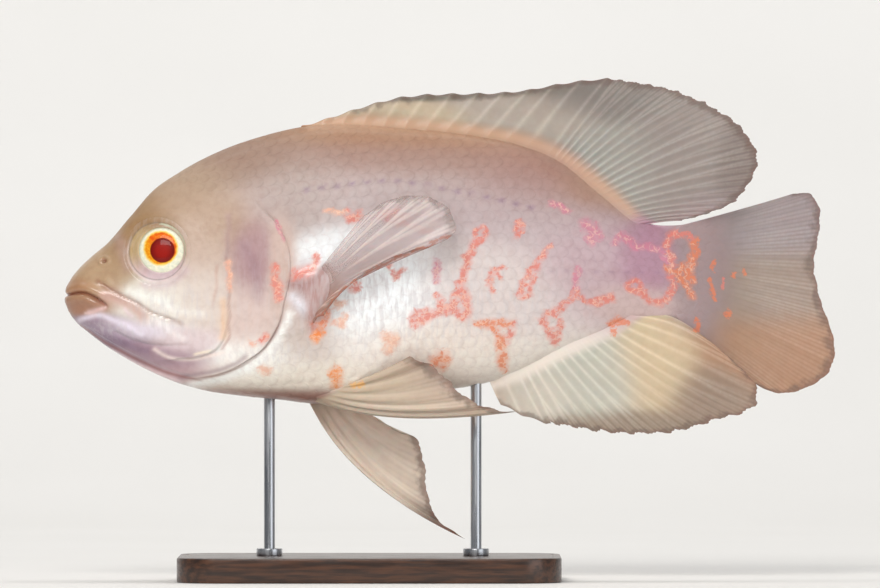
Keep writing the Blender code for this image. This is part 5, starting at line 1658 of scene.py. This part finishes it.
def scale_finish():
    """Scales: a pearly crown and a thinner, warmer rim, darkened partly by painted shade."""
    shader = Shader("scales")
    rim = shader.attribute("rim")
    shader.feed("Base Color", fish_colour(shader, rim))
    wet = shader.attribute("wet")
    own = shader.math("MULTIPLY", shader.attribute("own"), 0.12)
    shader.feed("Roughness", shader.math("ADD", shader.range(wet, 0, 1, 0.58, 0.34), own))
    shader.feed("Coat Weight", shader.math("MULTIPLY", wet, 0.4))
    shader.set(Subsurface_Weight=0.1, Subsurface_Scale=0.0015, Coat_Roughness=0.16)
    shader.set(Subsurface_Radius=(1.0, 0.45, 0.35), Specular_IOR_Level=0.45)
    rings = shader.math("SINE", shader.math("MULTIPLY", rim, 42.0))
    shader.bump(rings, 0.05, 0.0002)
    return shader.material


def fin_finish(name, alpha_web, alpha_ray, paleness):
    """A fin: pale rays in a thin grey web, darker towards the edge."""
    shader = Shader(name)
    ray = shader.attribute("ray")
    tone = shader.attribute("tone", colour=True)
    mottle = shader.noise(300, 3)
    web = shader.mix(shader.range(mottle, 0.3, 0.7, 0.04, 0.18), tone, (178, 164, 156), "MULTIPLY")
    pale = shader.mix(paleness, tone, (252, 246, 236))
    fibre = shader.noise(900, 3)
    ray_part = shader.math("MULTIPLY", ray, shader.range(fibre, 0.3, 0.7, 0.6, 1.0))
    colour = shader.mix(ray_part, web, pale)
    flesh_part = shader.attribute("flesh")
    colour = shader.mix(flesh_part, colour, tone)
    ragged = shader.noise(260, 4)
    edge = shader.math("SUBTRACT", shader.attribute("to_edge"), shader.range(ragged, 0.3, 0.7, 0.0, 2.6))
    dark = shader.range(edge, 2.4, -0.8, 0.0, 0.6)
    colour = shader.mix(dark, colour, (100, 82, 72))
    speckle = shader.noise(1100, 3, roughness=0.7)
    mark = shader.math("ADD", shader.attribute("mark"), shader.range(speckle, 0.3, 0.7, -0.25, 0.25))
    stained = shader.range(mark, 0.4, 0.85, 0.0, 0.72)
    colour = shader.mix(stained, colour, shader.attribute("stain", colour=True))
    shader.feed("Base Color", colour)
    solid = shader.math("MAXIMUM", shader.math("MAXIMUM", ray, flesh_part), stained)
    alpha = shader.range(solid, 0.0, 1.0, alpha_web, alpha_ray, smooth_step=False)
    clear = shader.math("MULTIPLY", shader.attribute("clear"), shader.range(ray, 0.15, 0.7, 1.0, 0.45))
    shader.feed("Alpha", shader.math("MULTIPLY", alpha, shader.math("SUBTRACT", 1.0, clear)))
    shader.set(Roughness=0.48, Subsurface_Weight=0.2, Subsurface_Scale=0.001, Coat_Weight=0.08)
    joints = shader.math("SINE", shader.math("MULTIPLY", shader.attribute("from_root"), 7.0))
    shader.bump(shader.math("MULTIPLY", joints, ray), 0.04, 0.0002)
    return shader.material


def eye_finish():
    """The eye: a dark red pupil, an orange iris and a silvery white ring."""
    shader = Shader("eye")
    pupil, iris, lid = (shader.attribute(name) for name in ("to_pupil", "to_iris", "to_lid"))
    grain = shader.noise(900, 3)
    wander = shader.range(grain, 0.3, 0.7, -0.02, 0.02)
    white = shader.mix(shader.range(grain, 0.3, 0.7), (242, 238, 214), (218, 220, 200))
    outline = shader.range(lid, 0.9, 1.02, 0.0, 0.7)
    white = shader.mix(outline, white, (156, 152, 122))
    orange = shader.mix(shader.range(grain, 0.3, 0.7), (216, 84, 6), (232, 122, 14))
    amber = shader.mix(shader.range(grain, 0.3, 0.7), (222, 126, 10), (240, 170, 30))
    orange = shader.mix(shader.attribute("amber"), orange, amber)
    iris_edge = shader.math("ADD", iris, wander)
    colour = shader.mix(shader.range(iris_edge, 0.98, 1.12, 1.0, 0.0), white, (240, 206, 96))
    colour = shader.mix(shader.range(iris_edge, 0.9, 1.02, 1.0, 0.0), colour, orange)
    red = shader.mix(shader.range(pupil, 0.3, 1.0), (150, 20, 8), (112, 10, 4))
    colour = shader.mix(shader.range(pupil, 0.94, 1.04, 1.0, 0.0), colour, red)
    shader.feed("Base Color", colour)
    shader.set(Roughness=0.45, Coat_Weight=0.2, Coat_Roughness=0.03, Specular_IOR_Level=0.12)
    return shader.material


def wood_finish():
    """Dark stained wood under satin varnish."""
    shader = Shader("stained wood")
    fibre = shader.noise(60, 5, stretch=(1, 12, 12))
    pores = shader.noise(700, 3, stretch=(0.12, 1.6, 1.6))
    colour = shader.mix(shader.range(fibre, 0.35, 0.65), (44, 27, 18), (82, 50, 31))
    colour = shader.mix(shader.range(pores, 0.55, 0.7, 0.0, 0.6), colour, (26, 15, 10))
    shader.feed("Base Color", colour)
    shader.feed("Roughness", shader.range(pores, 0.4, 0.7, 0.32, 0.5))
    shader.set(Coat_Weight=0.35, Coat_Roughness=0.2)
    shader.bump(pores, 0.1, 0.0003)
    return shader.material


def steel_finish():
    """Steel brushed along the rod."""
    shader = Shader("brushed steel")
    lines = shader.noise(900, 3, stretch=(1, 1, 0.04))
    shader.feed("Base Color", shader.mix(shader.range(lines, 0.3, 0.7), (176, 178, 182), (206, 208, 212)))
    shader.feed("Roughness", shader.range(lines, 0.3, 0.7, 0.22, 0.36))
    shader.set(Metallic=1.0)
    shader.bump(lines, 0.06, 0.0002)
    return shader.material


def build_studio():
    """A pale floor that curves up behind the fish and is seen from its front only."""
    deselect()
    bpy.ops.mesh.primitive_grid_add(x_subdivisions=1, y_subdivisions=40, size=1)
    floor = bpy.context.object
    floor.name = "floor"
    # In metres: where it starts and turns up, the turn's radius, its height and half its width
    front, turn, radius, tall, wide = -1.6, 0.75, 0.5, 2.4, 3.2
    lengths = (turn - front, radius * math.pi / 2, tall)
    for vertex in floor.data.vertices:
        run = (vertex.co.y + 0.5) * sum(lengths)
        x = vertex.co.x * 2 * wide
        if run <= lengths[0]:
            y, z = front + run, 0.0
        elif run <= lengths[0] + lengths[1]:
            bend = (run - lengths[0]) / radius
            y, z = turn + radius * math.sin(bend), radius * (1 - math.cos(bend))
        else:
            y, z = turn + radius, radius + run - lengths[0] - lengths[1]
        vertex.co = (x, y, z)
    shade(floor, 60)
    shader = Shader("studio paper")
    paper = shader.noise(6, 2)
    shader.feed("Base Color", shader.mix(paper, (232, 230, 226), (238, 236, 233)))
    behind_it = shader.tree.nodes.new("ShaderNodeNewGeometry").outputs["Backfacing"]
    shader.feed("Alpha", shader.math("SUBTRACT", 1.0, behind_it))
    shader.set(Roughness=0.8)
    floor.data.materials.append(shader.material)


def add_light(name, place_at, aim, size, power, colour, mirrored=True):
    """A rectangular lamp turned to its aim, which may be kept out of reflections."""
    lamp = bpy.data.lights.new(name, "AREA")
    lamp.shape = "RECTANGLE"
    lamp.size, lamp.size_y = size
    lamp.energy = power
    lamp.color = colour
    light = bpy.data.objects.new(name, lamp)
    light.location = place_at
    light.rotation_euler = (Vector(aim) - Vector(place_at)).to_track_quat("-Z", "Y").to_euler()
    light.visible_glossy = mirrored
    bpy.context.scene.collection.objects.link(light)


def light_studio():
    """Soft light from the left side, a brighter backdrop and a dim sky."""
    fish = (0.02, 0, 0.1)
    add_light("key", (-0.25, -1.15, 0.95), fish, (0.7, 0.5), 12.0, (1.0, 0.98, 0.95))
    add_light("front", (-0.5, -1.5, 0.25), fish, (0.9, 0.6), 4.6, (1.0, 0.99, 0.97), mirrored=False)
    add_light("fill", (0.95, -0.9, 0.3), fish, (0.9, 0.7), 3.0, (0.94, 0.97, 1.0))
    add_light("backdrop", (0, 0.25, 1.6), (0, 1.25, 0.35), (1.8, 0.4), 16.0, (1.0, 1.0, 1.0))
    world = bpy.data.worlds.new("studio")
    world.use_nodes = True
    background = world.node_tree.nodes["Background"]
    background.inputs["Color"].default_value = (0.92, 0.95, 1.0, 1.0)
    background.inputs["Strength"].default_value = 0.22
    bpy.context.scene.world = world


def add_camera():
    """A level view from the fish's left side, framed as in the photograph."""
    distance, frame_width, sensor = 3.2, 0.2854, 36
    middle = (0.0228, 0.0929)
    lens = bpy.data.cameras.new("camera")
    lens.sensor_width = sensor
    lens.lens = sensor * distance / frame_width
    camera = bpy.data.objects.new("camera", lens)
    camera.location = (middle[0], -distance, middle[1])
    camera.rotation_euler = (math.pi / 2, 0, 0)
    bpy.context.scene.collection.objects.link(camera)
    bpy.context.scene.camera = camera
    bpy.context.scene.view_settings.view_transform = "Standard"


def main():
    """Dresses the solids, then lights them and sets the camera."""
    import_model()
    deselect()
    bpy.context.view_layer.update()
    wet_skin = skin_finish()
    flesh_nodes = ("head", "lower_jaw", "gill_cover_left", "gill_cover_right", "trunk", "tail_stalk")
    finish_piece(build_skin(), wet_skin, flesh_nodes)
    eye, scales = eye_finish(), scale_finish()
    girth = Girth()
    for side_name, side in SIDES.items():
        build_eye(side_name, side, eye)
        build_lids(side_name, side, wet_skin)
        build_scales(side_name, side, scales, girth)
    build_fins(fin_finish("fin web", 0.86, 1.0, 0.16), fin_finish("clear fin web", 0.74, 0.96, 0.5))
    build_base(wood_finish())
    steel = steel_finish()
    for name, behind in ROD_PLACES.items():
        build_rod(name, behind, steel, (f"stand_{name}",))
    build_studio()
    light_studio()
    add_camera()


main()
